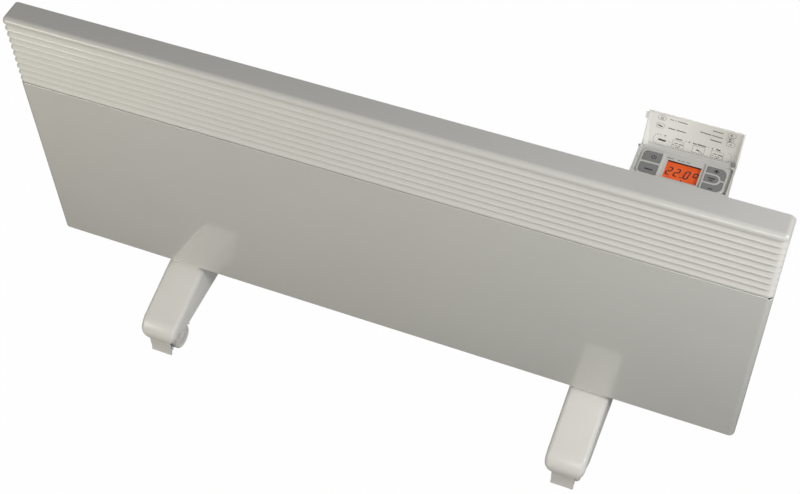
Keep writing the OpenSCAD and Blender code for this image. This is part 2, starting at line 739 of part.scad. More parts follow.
module control_board() color("#2f6b43") {
    difference() {
        translate([ctl_left + ctl_wall + 2.4, back_y + ctl_wall + 0.6, board_z - board_t])
            cube([ctl_w - 2 * ctl_wall - 4.8, ctl_d - 11.5, board_t]);
        on_fascia(board_z - board_t - 1) at_posts() cylinder(r = screw_small_r + 0.2, h = 6);
    }
}

module tact_switches() color("#2b2b2c") {
    for (p = key_at) on_fascia(board_z) translate([p.x, p.y, 0]) {
        translate([-3, -3, 0]) cube([6, 6, switch_h - 0.8]);
        cylinder(r = 1.7, h = switch_h);
    }
}

module power_relay() color("#25282c") {
    relay_h = 15;
    translate([ctl_left + 42, back_y + 9, board_z - board_t - relay_h]) cube([20, 13, relay_h]);
    translate([ctl_left + 88, back_y + 9, board_z - board_t - 12]) cube([22, 16, 12]);
}

module control_screws() color(steel) {
    on_fascia(board_z - board_t) at_posts() rotate([180, 0, 0]) pan_screw(screw_small_r, 1.8, 1.2, board_t + 4);
    at_housing_screws() translate([0, -sheet_t, 0]) rotate([90, 0, 0]) pan_screw(screw_r, screw_head_r, 1.8, sheet_t + ctl_wall);
}

module cord_gland() color("#cfcfcb") {
    translate([ctl_x, gland_y, ctl_low_z - 5]) difference() {
        union() {
            cylinder(r = gland_r, h = gland_len - 4);
            cylinder(r1 = gland_r + 0.8, r2 = gland_r + 2, h = 5);
        }
        translate([0, 0, -1]) cylinder(r = cord_r, h = gland_len);
    }
}

// A key: cap above the fascia, flange under it and a stem down to its switch
module key_cap(which, at) color(button_grey) {
    on_fascia(0) {
        translate([0, 0, fascia_low_z - flange_gap]) linear_extrude(fascia_t + flange_gap + button_proud) any_outline(which, 0);
        translate([0, 0, fascia_low_z - flange_gap - flange_t]) linear_extrude(flange_t + 0.01) any_outline(which, key_flange);
        translate([at.x, at.y, stem_low_z]) cylinder(r = 2.2, h = fascia_low_z - flange_gap - flange_t - stem_low_z + 0.01);
    }
}

module button_power() key_cap("power", key_at[0]);
module button_mode() key_cap("mode", key_at[1]);
module button_plus() key_cap("plus", key_at[2]);
module button_ok() key_cap("ok", key_at[3]);
module button_minus() key_cap("minus", key_at[4]);

// The lid as it lies shut: x across, y towards the front from the pin, z up from the pin
module lid_shut() {
    front = lid_len;
    rear_z = lid_seat + lid_rear_h;
    front_z = lid_seat + lid_front_h;
    difference() {
        translate([-lid_half, 0, 0]) rotate([90, 0, 90]) linear_extrude(2 * lid_half)
            polygon([[-ear_r, lid_seat], [-ear_r, rear_z], [-1, rear_z + lid_t], [front, front_z + lid_t],
                [front + lid_t, front_z], [front + lid_t, lid_seat]]);
        // Scooped inside with leaning ends and a cove at the rear
        hull() {
            for (s = [-1, 1]) {
                translate([s * (lid_half - lid_t) - 0.05, -ear_r + lid_t, lid_seat - 1]) cube([0.1, front + ear_r - lid_t, 1]);
                translate([s * (lid_half - lid_t - 5), -ear_r + lid_t + lid_cove_r, rear_z - lid_cove_r])
                    rotate([0, 90, 0]) cylinder(r = lid_cove_r, h = 0.1, center = true);
                translate([s * (lid_half - lid_t - 1.5) - 0.05, front - 0.1, front_z]) cube([0.1, 0.1, 0.01]);
            }
        }
    }
    // Barrel round the pin and the web up to the rear wall
    difference() {
        union() {
            rotate([0, 90, 0]) cylinder(r = barrel_r, h = barrel_w - 2 * fit_gap, center = true);
            translate([-barrel_w / 2 + fit_gap, -barrel_r, 0])
                cube([barrel_w - 2 * fit_gap, barrel_r - ear_r + lid_t, lid_seat + 0.5]);
        }
        rotate([0, 90, 0]) cylinder(r = lid_pin_r + run_gap, h = ctl_w, center = true);
    }
    // Finger tab
    translate([-lid_half - 3, front - 10, lid_seat + 0.4]) cube([3.1, 8.5, 1.6]);
}

module control_lid() color(lid_grey) {
    translate([ctl_x, lid_pin_y, lid_pin_z]) rotate([-lid_open, 0, 0]) mirror([0, 1, 0]) lid_shut();
}

module lid_pin() color("#55565a") {
    translate([ctl_left - 2, lid_pin_y, lid_pin_z]) rotate([0, 90, 0]) {
        cylinder(r = lid_pin_r, h = ctl_w + 2);
        cylinder(r = 1.8, h = 2 - 0.01);
    }
}

// A foot is one hull over its rounded noses and peak, cut flat and hollowed from below
nose_slope_z = foot_top_z - (foot_reach - nose_r) * tan(foot_fall) - nose_r * (1 / cos(foot_fall));
module foot_outside() {
    hull() for (x = [-1, 1]) translate([x * (foot_half - foot_edge_r), 0, 0]) {
        translate([0, 0, foot_top_z - foot_edge_r - 1]) sphere(foot_edge_r, $fn = 32);
        for (s = [-1, 1]) {
            for (i = [0 : 4]) {
                a = i * (90 - foot_fall) / 4;
                translate([0, s * (foot_reach - nose_r + (nose_r - foot_edge_r) * cos(a)),
                    max(nose_slope_z, foot_low) + (nose_r - foot_edge_r) * sin(a)]) sphere(foot_edge_r, $fn = 32);
            }
            translate([0, s * (foot_reach - foot_edge_r), foot_low]) cylinder(r = foot_edge_r, h = 1, $fn = 32);
        }
    }
}

// Side view of a foot's hollow, x = front to back, y = height
module foot_hollow_side() {
    slope_z = max(nose_slope_z, foot_low);
    inner_r = nose_r - foot_wall;
    right = arc(foot_reach - nose_r, slope_z, inner_r, 0, 90 - foot_fall, 12);
    left = [for (p = right) [-p.x, p.y]];
    polygon(concat([[foot_reach - foot_wall, foot_low - 1]], right,
        [[0, foot_top_z - foot_wall - 1.5]], [for (i = [len(left) - 1 : -1 : 0]) left[i]],
        [[-foot_reach + foot_wall, foot_low - 1]]));
}

module foot(side) color(foot_white) translate([side * foot_x, 0, 0]) {
    pad_low = base_z - foot_pad_h;
    difference() {
        union() {
            difference() {
                intersection() {
                    foot_outside();
                    translate([-foot_w, -2 * foot_reach, foot_low]) cube([2 * foot_w, 4 * foot_reach, foot_top_z]);
                }
                rotate([90, 0, 90]) linear_extrude(foot_w - 2 * foot_wall, center = true) foot_hollow_side();
            }
            translate([-pad_w / 2, -pad_d / 2, pad_low]) cube([pad_w, pad_d, base_z - pad_low]);
            intersection() {
                rotate([90, 0, 90]) linear_extrude(foot_w - 2 * foot_wall + 0.2, center = true) foot_hollow_side();
                union() {
                    for (s = [-1, 1]) {
                        translate([0, s * stem_y, socket_low_z]) cylinder(r = socket_r + boss_wall, h = 60);
                        for (y = [0.3, 0.6]) translate([-foot_half, s * stem_y * y - 1, foot_low + 6]) cube([foot_w, 2, 60]);
                        translate([-1, s > 0 ? pad_d / 2 : -stem_y, foot_low + 10]) cube([2, stem_y - pad_d / 2, 60]);
                    }
                }
            }
        }
        for (s = [-1, 1]) translate([0, s * stem_y, foot_low - 1]) cylinder(r = socket_r + press_gap, h = socket_high_z - foot_low + 1);
        for (x = [-1, 1]) translate([x * foot_screw_x, 0, 0]) {
            translate([0, 0, pad_low - 1]) cylinder(r = foot_screw_r + 0.2, h = 60);
            translate([0, 0, pad_low - 1]) cylinder(r = foot_screw_head_r + 0.4, h = foot_pad_h - foot_screw_seat + 1);
        }
    }
}

module foot_left() foot(-1);
module foot_right() foot(1);

module foot_screws() color(steel) {
    head_z = base_z - foot_screw_seat;
    for (side = [-1, 1], x = [-1, 1]) translate([side * foot_x + x * foot_screw_x, 0, head_z]) rotate([180, 0, 0])
        pan_screw(foot_screw_r, foot_screw_head_r, foot_screw_head_h, foot_screw_seat + 2 * sheet_t + 1);
}

// Places of the castors: left or right foot, front or rear; local +Y points to the casing
module at_castor(side, end) translate([side * foot_x, end * stem_y, 0]) mirror([0, end > 0 ? 1 : 0, 0]) children();

module stem_sockets() color(steel) {
    for (side = [-1, 1], end = [-1, 1]) at_castor(side, end) translate([0, 0, socket_low_z]) difference() {
        cylinder(r = socket_r, h = socket_high_z - socket_low_z);
        translate([0, 0, -1]) cylinder(r = stem_r + run_gap, h = socket_high_z - socket_low_z);
    }
}

module castor_fork(braked) color(plastic_white) {
    outer_r = wheel_r + hood_gap + hood_t;
    difference() {
        union() {
            // Hood over both wheels
            intersection() {
                translate([0, trail, wheel_r]) rotate([0, 90, 0]) difference() {
                    cylinder(r = outer_r, h = hood_w, center = true);
                    cylinder(r = wheel_r + hood_gap, h = hood_w + 2, center = true);
                }
                translate([-hood_w, trail - outer_r, wheel_r + 6]) cube([2 * hood_w, 2 * outer_r, outer_r]);
            }
            // Web between the wheels
            intersection() {
                translate([0, trail, wheel_r]) rotate([0, 90, 0]) cylinder(r = outer_r - 0.5, h = web_w, center = true);
                translate([-web_w, trail - 16, wheel_r - 9]) cube([2 * web_w, outer_r + 12, outer_r + 9]);
            }
            translate([0, 0, wheel_r + 4]) cylinder(r = stem_boss_r - 0.5, h = fork_top_z - wheel_r - 4);
            if (braked) {
                translate([-web_w / 2, pedal_pivot_y, pedal_pivot_z - 3.4]) cube([web_w, trail - pedal_pivot_y, 6.8]);
                translate([0, pedal_pivot_y, pedal_pivot_z]) rotate([0, 90, 0]) cylinder(r = 3.4, h = web_w, center = true);
            }
        }
        // Room for the wheels beside the web
        for (s = [-1, 1]) translate([s * (web_w / 2 + (hood_w - web_w) / 4 + hood_w / 4), trail, wheel_r]) rotate([0, 90, 0])
            cylinder(r = wheel_r + hood_gap, h = (hood_w - web_w) / 2 + hood_w / 2, center = true);
        translate([0, trail, wheel_r]) rotate([0, 90, 0]) cylinder(r = axle_r + press_gap, h = hood_w + 2, center = true);
        translate([0, 0, wheel_r + 8]) cylinder(r = stem_r + press_gap, h = 60);
        if (braked) translate([0, pedal_pivot_y, pedal_pivot_z]) rotate([0, 90, 0])
            cylinder(r = pedal_pin_r + run_gap, h = web_w + 2, center = true);
    }
}

// Stem with its collar, and the wheel axle with two retaining heads
module castor_pins() color(steel) {
    translate([0, 0, wheel_r + 8]) cylinder(r = stem_r, h = socket_high_z - 1.5 - wheel_r - 8);
    translate([0, 0, fork_top_z]) cylinder(r = collar_r, h = collar_t);
    axle_half = web_w / 2 + wheel_gap + wheel_w - 3 + 0.2;
    translate([0, trail, wheel_r]) rotate([0, 90, 0]) {
        cylinder(r = axle_r, h = 2 * axle_half, center = true);
        for (s = [-1, 1]) translate([0, 0, s * (axle_half + 0.6)]) cylinder(r = axle_r + 1.4, h = 1.22, center = true);
    }
}

// Outline of half a wheel: x = radius, y = from its inner face outwards
module wheel_outline() {
    polygon([
        [axle_r + run_gap, 0], [wheel_r - 2, 0], [wheel_r, 2], [wheel_r, wheel_w - 2.5], [wheel_r - 2.5, wheel_w],
        [wheel_r - 4.5, wheel_w], [wheel_r - 5.5, wheel_w - 1.2], [axle_r + 5, wheel_w - 2], [axle_r + 3.6, wheel_w - 3],
        [axle_r + run_gap, wheel_w - 3]]);
}

module wheel(s) color("#d3d3d0") translate([s * (web_w / 2 + wheel_gap), trail, wheel_r]) rotate([0, s * 90, 0])
    rotate_extrude() wheel_outline();

module brake_pedal() color("#d2d2d0") {
    ear_x = web_w / 2 + ear_gap;
    shoe_y = trail - wheel_r - 4.3;
    plate_y = -pedal_front;
    lip_z = 8;
    translate([-pedal_w / 2, 0, 0]) rotate([90, 0, 90]) linear_extrude(pedal_w) polygon([
        [plate_y + pedal_t, pedal_pivot_z + 5.5], [plate_y, pedal_pivot_z + 4], [plate_y - 0.8, lip_z + 8],
        [plate_y - 4, lip_z], [plate_y - 2, lip_z - 0.6], [plate_y - 0.8 + pedal_t, lip_z + 7]]);
    for (s = [-1, 1]) {
        // Ears beside the fork's tongue
        translate([s * (ear_x + 1.5) - 1.5, 0, 0]) {
            translate([0, pedal_pivot_y, pedal_pivot_z]) rotate([0, 90, 0]) cylinder(r = 3.4, h = 3);
            translate([0, plate_y + pedal_t - 0.6, pedal_pivot_z - 3.4]) cube([3, pedal_front + pedal_pivot_y - pedal_t + 0.6, 6.8]);
        }
        // Shoes that bear on the wheels
        translate([s * 13 - 4, plate_y + pedal_t - 1.4, 17]) cube([8, shoe_y - plate_y - pedal_t + 1.4, 6]);
    }
    translate([0, pedal_pivot_y, pedal_pivot_z]) rotate([0, 90, 0]) cylinder(r = pedal_pin_r, h = 2 * ear_x + 4, center = true);
}

module castor_fork_fl() at_castor(-1, -1) castor_fork(true);
module castor_fork_fr() at_castor(1, -1) castor_fork(true);
module castor_fork_rl() at_castor(-1, 1) castor_fork(false);
module castor_fork_rr() at_castor(1, 1) castor_fork(false);
module castor_pins_fl() at_castor(-1, -1) castor_pins();
module castor_pins_fr() at_castor(1, -1) castor_pins();
module castor_pins_rl() at_castor(-1, 1) castor_pins();
module castor_pins_rr() at_castor(1, 1) castor_pins();
module wheel_fl_outer() at_castor(-1, -1) wheel(-1);
module wheel_fl_inner() at_castor(-1, -1) wheel(1);
module wheel_fr_outer() at_castor(1, -1) wheel(1);
module wheel_fr_inner() at_castor(1, -1) wheel(-1);
module wheel_rl_outer() at_castor(-1, 1) wheel(-1);
module wheel_rl_inner() at_castor(-1, 1) wheel(1);
module wheel_rr_outer() at_castor(1, 1) wheel(1);
module wheel_rr_inner() at_castor(1, 1) wheel(-1);
module brake_pedal_fl() at_castor(-1, -1) brake_pedal();
module brake_pedal_fr() at_castor(1, -1) brake_pedal();

top_grille();
front_panel();
back_panel();
inlet_grille();
panel_screws();
heat_shield();
heating_element();
element_rod();
element_brackets();
element_bushes();
overheat_cutout();
air_sensor();
terminal_block();
wiring_loom();
control_housing();
control_fascia();
lcd_window();
lcd_module();
control_board();
tact_switches();
power_relay();
control_screws();
cord_gland();
button_power();
button_mode();
button_plus();
button_ok();
button_minus();
control_lid();
lid_pin();
foot_left();
foot_right();
foot_screws();
stem_sockets();
castor_fork_fl();
castor_fork_fr();
castor_fork_rl();
castor_fork_rr();
castor_pins_fl();
castor_pins_fr();
castor_pins_rl();
castor_pins_rr();
wheel_fl_outer();
wheel_fl_inner();
wheel_fr_outer();
wheel_fr_inner();
wheel_rl_outer();
wheel_rl_inner();
wheel_rr_outer();
wheel_rr_inner();
brake_pedal_fl();
brake_pedal_fr();
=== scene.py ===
import math

import bmesh
import bpy
from mathutils import Matrix, Vector


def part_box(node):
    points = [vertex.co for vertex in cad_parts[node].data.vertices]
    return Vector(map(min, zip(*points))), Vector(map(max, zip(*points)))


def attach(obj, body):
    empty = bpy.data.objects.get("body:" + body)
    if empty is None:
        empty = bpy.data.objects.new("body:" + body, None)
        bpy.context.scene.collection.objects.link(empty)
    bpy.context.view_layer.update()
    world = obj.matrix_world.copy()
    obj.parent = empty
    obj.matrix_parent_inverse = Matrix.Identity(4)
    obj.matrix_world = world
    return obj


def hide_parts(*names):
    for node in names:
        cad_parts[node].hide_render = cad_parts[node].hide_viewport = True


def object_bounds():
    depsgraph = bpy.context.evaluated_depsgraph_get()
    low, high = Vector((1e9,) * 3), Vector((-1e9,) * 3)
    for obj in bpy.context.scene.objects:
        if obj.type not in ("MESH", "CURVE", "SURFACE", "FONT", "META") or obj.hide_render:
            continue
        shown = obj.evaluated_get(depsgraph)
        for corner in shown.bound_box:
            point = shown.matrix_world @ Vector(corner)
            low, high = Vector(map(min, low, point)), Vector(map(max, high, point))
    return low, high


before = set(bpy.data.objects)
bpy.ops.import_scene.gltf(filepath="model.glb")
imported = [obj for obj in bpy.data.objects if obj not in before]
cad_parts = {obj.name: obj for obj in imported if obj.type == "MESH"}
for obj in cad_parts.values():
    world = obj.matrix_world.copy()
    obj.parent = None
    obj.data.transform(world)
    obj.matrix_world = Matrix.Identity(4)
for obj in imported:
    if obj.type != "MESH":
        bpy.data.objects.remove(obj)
cad_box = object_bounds()

# Camera: it stands high in front of the right end of the heater and looks down
# along the casing, rolled a little. Its lens and angles are for a frame of 800 by 494 pixels.
camera_place = Vector((0.5476, -1.16865, 1.8836))
camera_azimuth = math.radians(23.82)
camera_height_angle = math.radians(51.30)
camera_roll = math.radians(-2.25)
sensor_mm, lens_mm = 36, 66.04
camera = bpy.data.objects.new("camera", bpy.data.cameras.new("camera"))
bpy.context.scene.collection.objects.link(camera)
camera.data.sensor_width = sensor_mm
camera.data.lens = lens_mm
backward = Vector((
    math.sin(camera_azimuth) * math.cos(camera_height_angle),
    -math.cos(camera_azimuth) * math.cos(camera_height_angle),
    math.sin(camera_height_angle)))
aimed = backward.to_track_quat("Z", "Y").to_matrix().to_4x4()
rolled = Matrix.Rotation(camera_roll, 4, "Z")
camera.matrix_world = Matrix.Translation(camera_place) @ (aimed @ rolled)
bpy.context.scene.camera = camera
bpy.context.scene.view_settings.view_transform = "Standard"


# Floor and room: a plain grey studio floor in an even white room. The camera sees both
# as plain white. Gloss mirrors the room as white and the floor as dark, so that the
# paint shows an image of the feet.
class Signal:
    """A socket that can be added, multiplied and so on: each step is a Math node."""

    def __init__(self, tree, socket):
        self.tree, self.socket = tree, socket

    def maths(self, operation, *values):
        node = self.tree.nodes.new("ShaderNodeMath")
        node.operation = operation
        for entry, value in zip(node.inputs, (self, *values)):
            if isinstance(value, Signal):
                self.tree.links.new(value.socket, entry)
            else:
                entry.default_value = value
        return Signal(self.tree, node.outputs[0])

    def __add__(self, other):
        return self.maths("ADD", other)

    def __sub__(self, other):
        return self.maths("SUBTRACT", other)

    def __rsub__(self, other):
        return self.maths("MULTIPLY_ADD", -1.0, other)

    def __mul__(self, other):
        return self.maths("MULTIPLY", other)

    __radd__ = __add__
    __rmul__ = __mul__


class Shading:
    """The nodes of a material or of the room, all made by one method."""

    def __init__(self, owner):
        owner.use_nodes = True
        self.tree = owner.node_tree

    def node(self, kind, settings=None, sockets=None, output=0):
        """A node, its settings such as a ramp's stops, and values or signals on its sockets."""
        made = self.tree.nodes.new(kind)
        for key, value in (settings or {}).items():
            if key != "stops":
                setattr(made, key, value)
                continue
            for spot, (at, shade) in enumerate(value):
                known = made.color_ramp.elements
                stop = known[spot] if spot < len(known) else known.new(at)
                stop.position, stop.color = at, (*shade, 1)
        for key, value in (sockets or {}).items():
            if isinstance(value, Signal):
                self.tree.links.new(value.socket, made.inputs[key])
            else:
                made.inputs[key].default_value = value
        return Signal(self.tree, made.outputs[output])

    def seen(self, *ways):
        """1 for rays of these kinds, such as Camera or Glossy, and 0 for light itself."""
        rays = [self.node("ShaderNodeLightPath", output=f"Is {way} Ray") for way in ways]
        whole = rays[0]
        for ray in rays[1:]:
            whole = whole.maths("MAXIMUM", ray)
        return whole


class Finish(Shading):
    """A material whose constants and signals go straight to its shader's sockets."""

    def __init__(self, name, **constants):
        self.material = bpy.data.materials.new(name)
        super().__init__(self.material)
        self.shader = self.tree.nodes["Principled BSDF"]
        for key, value in constants.items():
            self.shader.inputs[key.replace("_", " ")].default_value = value
        self.place = self.node("ShaderNodeTexCoord", output="Object")

    def noise(self, scale, detail):
        return self.node("ShaderNodeTexNoise", None,
                         {"Vector": self.place, "Scale": scale, "Detail": detail})

    def ramp(self, amount, low, high, start=0.3, stop=0.7):
        """A colour that goes from low to high while the amount goes from start to stop."""
        return self.node("ShaderNodeValToRGB", {"stops": ((start, low), (stop, high))},
                         {"Fac": amount})

    def bump(self, height, strength, rise):
        return self.node("ShaderNodeBump", None,
                         {"Strength": strength, "Distance": rise, "Height": height})

    def feed(self, **signals):
        for key, signal in signals.items():
            self.tree.links.new(signal.socket, self.shader.inputs[key.replace("_", " ")])
        return self


white = (1, 1, 1, 1)
room_light = 0.1
room = bpy.data.worlds.new("room")
bpy.context.scene.world = room
room_nodes = Shading(room)
room_strength = room_nodes.seen("Camera", "Glossy", "Transmission") * (1 - room_light) + room_light
room_sky = room.node_tree.nodes["Background"]
room.node_tree.links.new(room_strength.socket, room_sky.inputs["Strength"])
room_sky.inputs["Color"].default_value = white

floor_reach = 6.0
floor_shade = 0.25
floor_glow = 0.99
floor_mirrored = 0.02
floor_mesh = bpy.data.meshes.new("floor")
bm = bmesh.new()
bmesh.ops.create_grid(bm, x_segments=1, y_segments=1, size=floor_reach)
bm.to_mesh(floor_mesh)
floor = bpy.data.objects.new("floor", floor_mesh)
bpy.context.scene.collection.objects.link(floor)
floor_finish = Finish("floor", Base_Color=(floor_shade, floor_shade, floor_shade, 1), Roughness=0.8)
glow = floor_finish.node("ShaderNodeEmission", None, {"Color": white, "Strength": 1.0})
shown_glow = (floor_finish.seen("Camera", "Transmission") * floor_glow
              + floor_finish.seen("Glossy") * floor_mirrored)
floor_mix = floor_finish.node("ShaderNodeMixShader", None, {0: shown_glow, 2: glow})
floor_finish.tree.links.new(floor_finish.shader.outputs[0], floor_mix.socket.node.inputs[1])
floor_finish.tree.links.new(
    floor_mix.socket, floor_finish.tree.nodes["Material Output"].inputs["Surface"])
floor_mesh.materials.append(floor_finish.material)


# Soft boxes: the main one over the right end, whose light fades along the top to the
# left, warm ones low on the left and in front, a weak far one, and one for the back.
def soft_box(name, place, target, size, power, shade=(1, 1, 1)):
    lamp = bpy.data.lights.new(name, "AREA")
    lamp.shape = "DISK"
    lamp.size = size
    lamp.energy = power
    lamp.color = shade
    box = bpy.data.objects.new(name, lamp)
    box.location = place
    box.rotation_mode = "QUATERNION"
    box.rotation_quaternion = (Vector(place) - Vector(target)).to_track_quat("Z", "Y")
    bpy.context.scene.collection.objects.link(box)


middle = (cad_box[0] + cad_box[1]) / 2
soft_box("main_box", (1.56, -0.38, 1.4), middle, 0.45, 13.8)
soft_box("left_box", (-1.3, -1.35, 0.72), middle, 0.6, 9.6, (1.0, 0.95, 0.82))
soft_box("front_box", (0.6, -1.95, 1.3), middle, 0.8, 11.8, (1.0, 1.0, 0.97))
soft_box("right_box", (3.3, -0.6, 0.7), middle, 0.9, 4.5)
soft_box("back_box", (0.2, 2.6, 0.62), middle, 1.0, 28)


# Front sheet: one folded sheet of painted steel makes the front, both ends and the
# return under them. Its upper edge is folded in to a ledge that is notched at both corners.
mm = 0.001
case_low, case_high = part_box("front_panel")
corner_r = 8 * mm
core_x = case_high.x - corner_r
core_y = case_high.y - corner_r
sheet_t = 1.2 * mm
bend_r = 3 * mm
corner_steps = 10
sharp_angle = math.radians(32)
tiny = 1e-6
left_end = Matrix(((-1, 0, 0, -core_x), (0, 0, -1, case_high.y), (0, 1, 0, 0), (0, 0, 0, 1)))


def flat_outline(bm, corners, place, steps=6):
    """A flat face through (u, v, radius) corners on the plane that place gives."""
    known = set(bm.faces)
    verts = [bm.verts.new(place @ Vector((u, v, 0))) for u, v, radius in corners]
    bm.faces.new(verts)
    for vert, (u, v, radius) in zip(verts, corners):
        if radius:
            bmesh.ops.bevel(bm, geom=[vert], offset=radius, offset_type="OFFSET", segments=steps,
                            profile=0.5, affect="VERTICES", material=-1)
    return [face for face in bm.faces if face not in known]


def in_mm(*sizes):
    return [size * mm for size in sizes]


def only(kind, geometry):
    """The items of one kind."""
    return [item for item in geometry if isinstance(item, kind)]


def carry_round(bm, edges, solid=True):
    """Carries edges from the back of the left end round the front to the back of the right end."""
    side = case_high.y + core_y
    legs = (((0, -side, 0), -core_x), ((2 * core_x, 0, 0), core_x), ((0, side, 0), None))
    for shift, centre in legs:
        made = bmesh.ops.extrude_edge_only(bm, edges=edges)["geom"]
        verts = only(bmesh.types.BMVert, made)
        edges = [edge for edge in only(bmesh.types.BMEdge, made)
                 if all(vert in verts for vert in edge.verts)]
        bmesh.ops.translate(bm, verts=verts, vec=shift)
        if centre is not None:
            made = bmesh.ops.spin(bm, geom=verts + edges, cent=(centre, -core_y, 0), axis=(0, 0, 1),
                                  angle=math.pi / 2, steps=corner_steps)["geom_last"]
            edges = only(bmesh.types.BMEdge, made)
    if solid:
        bmesh.ops.contextual_create(bm, geom=edges)


def make_piece(name, bm, finish, body="heater", stands_for=(), edge=0.0, thick=0.0):
    """An object of the mesh, smooth but for its sharp edges, that rides on a body."""
    bmesh.ops.remove_doubles(bm, verts=bm.verts, dist=tiny)
    bmesh.ops.recalc_face_normals(bm, faces=bm.faces)
    for face in bm.faces:
        face.smooth = True
    for line in bm.edges:
        line.smooth = len(line.link_faces) == 2 and line.calc_face_angle() < sharp_angle
    mesh = bpy.data.meshes.new(name)
    bm.to_mesh(mesh)
    bm.free()
    made = bpy.data.objects.new(name, mesh)
    bpy.context.scene.collection.objects.link(made)
    mesh.materials.append(finish.material)
    if thick:
        wall = made.modifiers.new("wall", "SOLIDIFY")
        wall.thickness, wall.offset = thick, -1
    if edge:
        soft = made.modifiers.new("edge", "BEVEL")
        soft.width, soft.segments, soft.limit_method = edge, 2, "ANGLE"
        soft.angle_limit, soft.harden_normals = sharp_angle, True
    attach(made, body)
    if stands_for:
        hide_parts(*stands_for)
    return made


def dimmed(shade, share):
    return tuple(share * part for part in shade)


def painted_steel(name, shade, gloss):
    """Stoved semi-gloss paint: a faint orange peel, and a clear coat that mirrors softly."""
    paint = Finish(name, Specular_IOR_Level=0.4, Coat_Roughness=0.05, Coat_IOR=1.75)
    cloud, peel = paint.noise(6.0, 3.0), paint.noise(520.0, 2.0)
    return paint.feed(Base_Color=paint.ramp(cloud, dimmed(shade, 0.975), shade),
                      Roughness=cloud * 0.06 + 0.36, Coat_Weight=cloud * 0.1 + gloss,
                      Normal=paint.bump(peel, 0.05, 0.00006))


# The front sheet has the same paint as the louvre band, written a shade darker as painted shade,
# for the less light that falls on its upright face
panel_paint = painted_steel("panel_paint", (0.685, 0.682, 0.65), 0.75)
sheet_in = corner_r - sheet_t
panel_base, panel_top = case_low.z, case_high.z
return_end, ledge_end = 0.8 * mm, 3 * mm
rim_r, rim_inner_r = 0.9 * mm, 0.25 * mm
ledge_z = panel_top - 1.2 * mm
notch_turn = math.radians(20)
notch_depth, notch_pocket = 3 * mm, 9 * mm
bm = bmesh.new()
sheet = flat_outline(bm, [
    (return_end, panel_base, 0), (corner_r, panel_base, bend_r), (corner_r, panel_top, rim_r),
    (sheet_in, panel_top, rim_inner_r), (sheet_in, ledge_z, 0), (ledge_end, ledge_z, 0),
    (ledge_end, ledge_z - sheet_t, 0), (sheet_in, ledge_z - sheet_t, 0),
    (sheet_in, panel_base + sheet_t, bend_r - sheet_t), (return_end, panel_base + sheet_t, 0)],
    left_end, steps=4)
carry_round(bm, sheet[0].edges[:])
for vert in bm.verts:
    arm = Vector((abs(vert.co.x) - core_x, -core_y - vert.co.y))
    if (vert.co.z > ledge_z - 1.1 * sheet_t and min(arm) > tiny
            and abs(math.atan2(arm.y, arm.x) - math.pi / 4) < notch_turn):
        vert.co.z -= notch_depth if vert.co.z > ledge_z + tiny else notch_pocket
make_piece("front_sheet", bm, panel_paint, stands_for=["front_panel"])

# Louvre band: a shell of painted steel whose round upper edge runs into the flat top,
# with nine leaning blades and a short last one swept round the front and both ends.
band_low, band_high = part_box("top_grille")
# The band and its blades are one paint. The blades' colour is written lighter than the band's as
# painted light, for the light the leaning blades catch; the flat top takes the darker one
band_paint = painted_steel("band_paint", (0.73, 0.722, 0.69), 0.1)
lit_blade_paint = painted_steel("lit_blade_paint", (0.8, 0.79, 0.755), 0.1)
blade_count = 9
blade_pitch = 11.8 * mm
blade_t = 1.4 * mm
blade_lean = 5.4 * mm
blade_waist = (2.3 * mm, 5.4 * mm)
blade_tuck = 1.2 * mm
blade_lip = 0.9 * mm
blade_bend_r = 9 * mm
lip_r, tip_r, inner_lip_r = in_mm(0.4, 0.35, 0.3)
band_gap = 0.3 * mm
seam_tuck = 0.8 * mm
last_waist = 1 * mm
skirt_h = 1 * mm
first_lip = band_high.z - corner_r - skirt_h
bm = bmesh.new()
lip_vert = bm.verts.new((-core_x - corner_r, case_high.y, first_lip))
made = bmesh.ops.extrude_vert_indiv(bm, verts=[lip_vert])
bend = only(bmesh.types.BMVert, made["verts"])
bmesh.ops.translate(bm, verts=bend, vec=(0, 0, band_high.z - corner_r - first_lip))
bmesh.ops.spin(bm, geom=bend, cent=(-core_x, case_high.y, band_high.z - corner_r), axis=(0, 1, 0),
               angle=math.pi / 2, steps=corner_steps)
carry_round(bm, bm.edges[:], solid=False)
bmesh.ops.remove_doubles(bm, verts=bm.verts, dist=tiny)
top_corners = [v for v in bm.verts if v.co.z > band_high.z - tiny]
bmesh.ops.contextual_create(bm, geom=top_corners)
make_piece("band_top", bm, band_paint, stands_for=["top_grille"], thick=sheet_t, edge=0.3 * mm)

bm = bmesh.new()
for number in range(blade_count + 1):
    high = first_lip - number * blade_pitch
    low = max(high - blade_pitch, band_low.z + band_gap)
    lip = min(blade_lip, (high - low) / 2)
    waist_z, rim = low + blade_waist[1], corner_r
    if number == blade_count:
        waist_z, rim = max(waist_z, high - last_waist), corner_r - seam_tuck
    head = corner_r - blade_lean
    blade = flat_outline(bm, [
        (head, high + blade_tuck, 0), (head + blade_t, high + blade_tuck, 0),
        (corner_r - blade_waist[0], waist_z, blade_bend_r), (rim, low + lip, lip_r),
        (rim, low, tip_r), (rim - blade_t, low, lip_r),
        (rim - blade_t, low + lip, inner_lip_r)], left_end, steps=4)
    carry_round(bm, blade[0].edges[:])
make_piece("band_blades", bm, lit_blade_paint, stands_for=["top_grille"])


def add_block(bm, low, high):
    """A plain block between two corners."""
    low, high = Vector(low), Vector(high)
    bmesh.ops.create_cube(bm, size=1, matrix=Matrix.Translation((low + high) / 2)
                          @ Matrix.Diagonal((*(high - low), 1)))


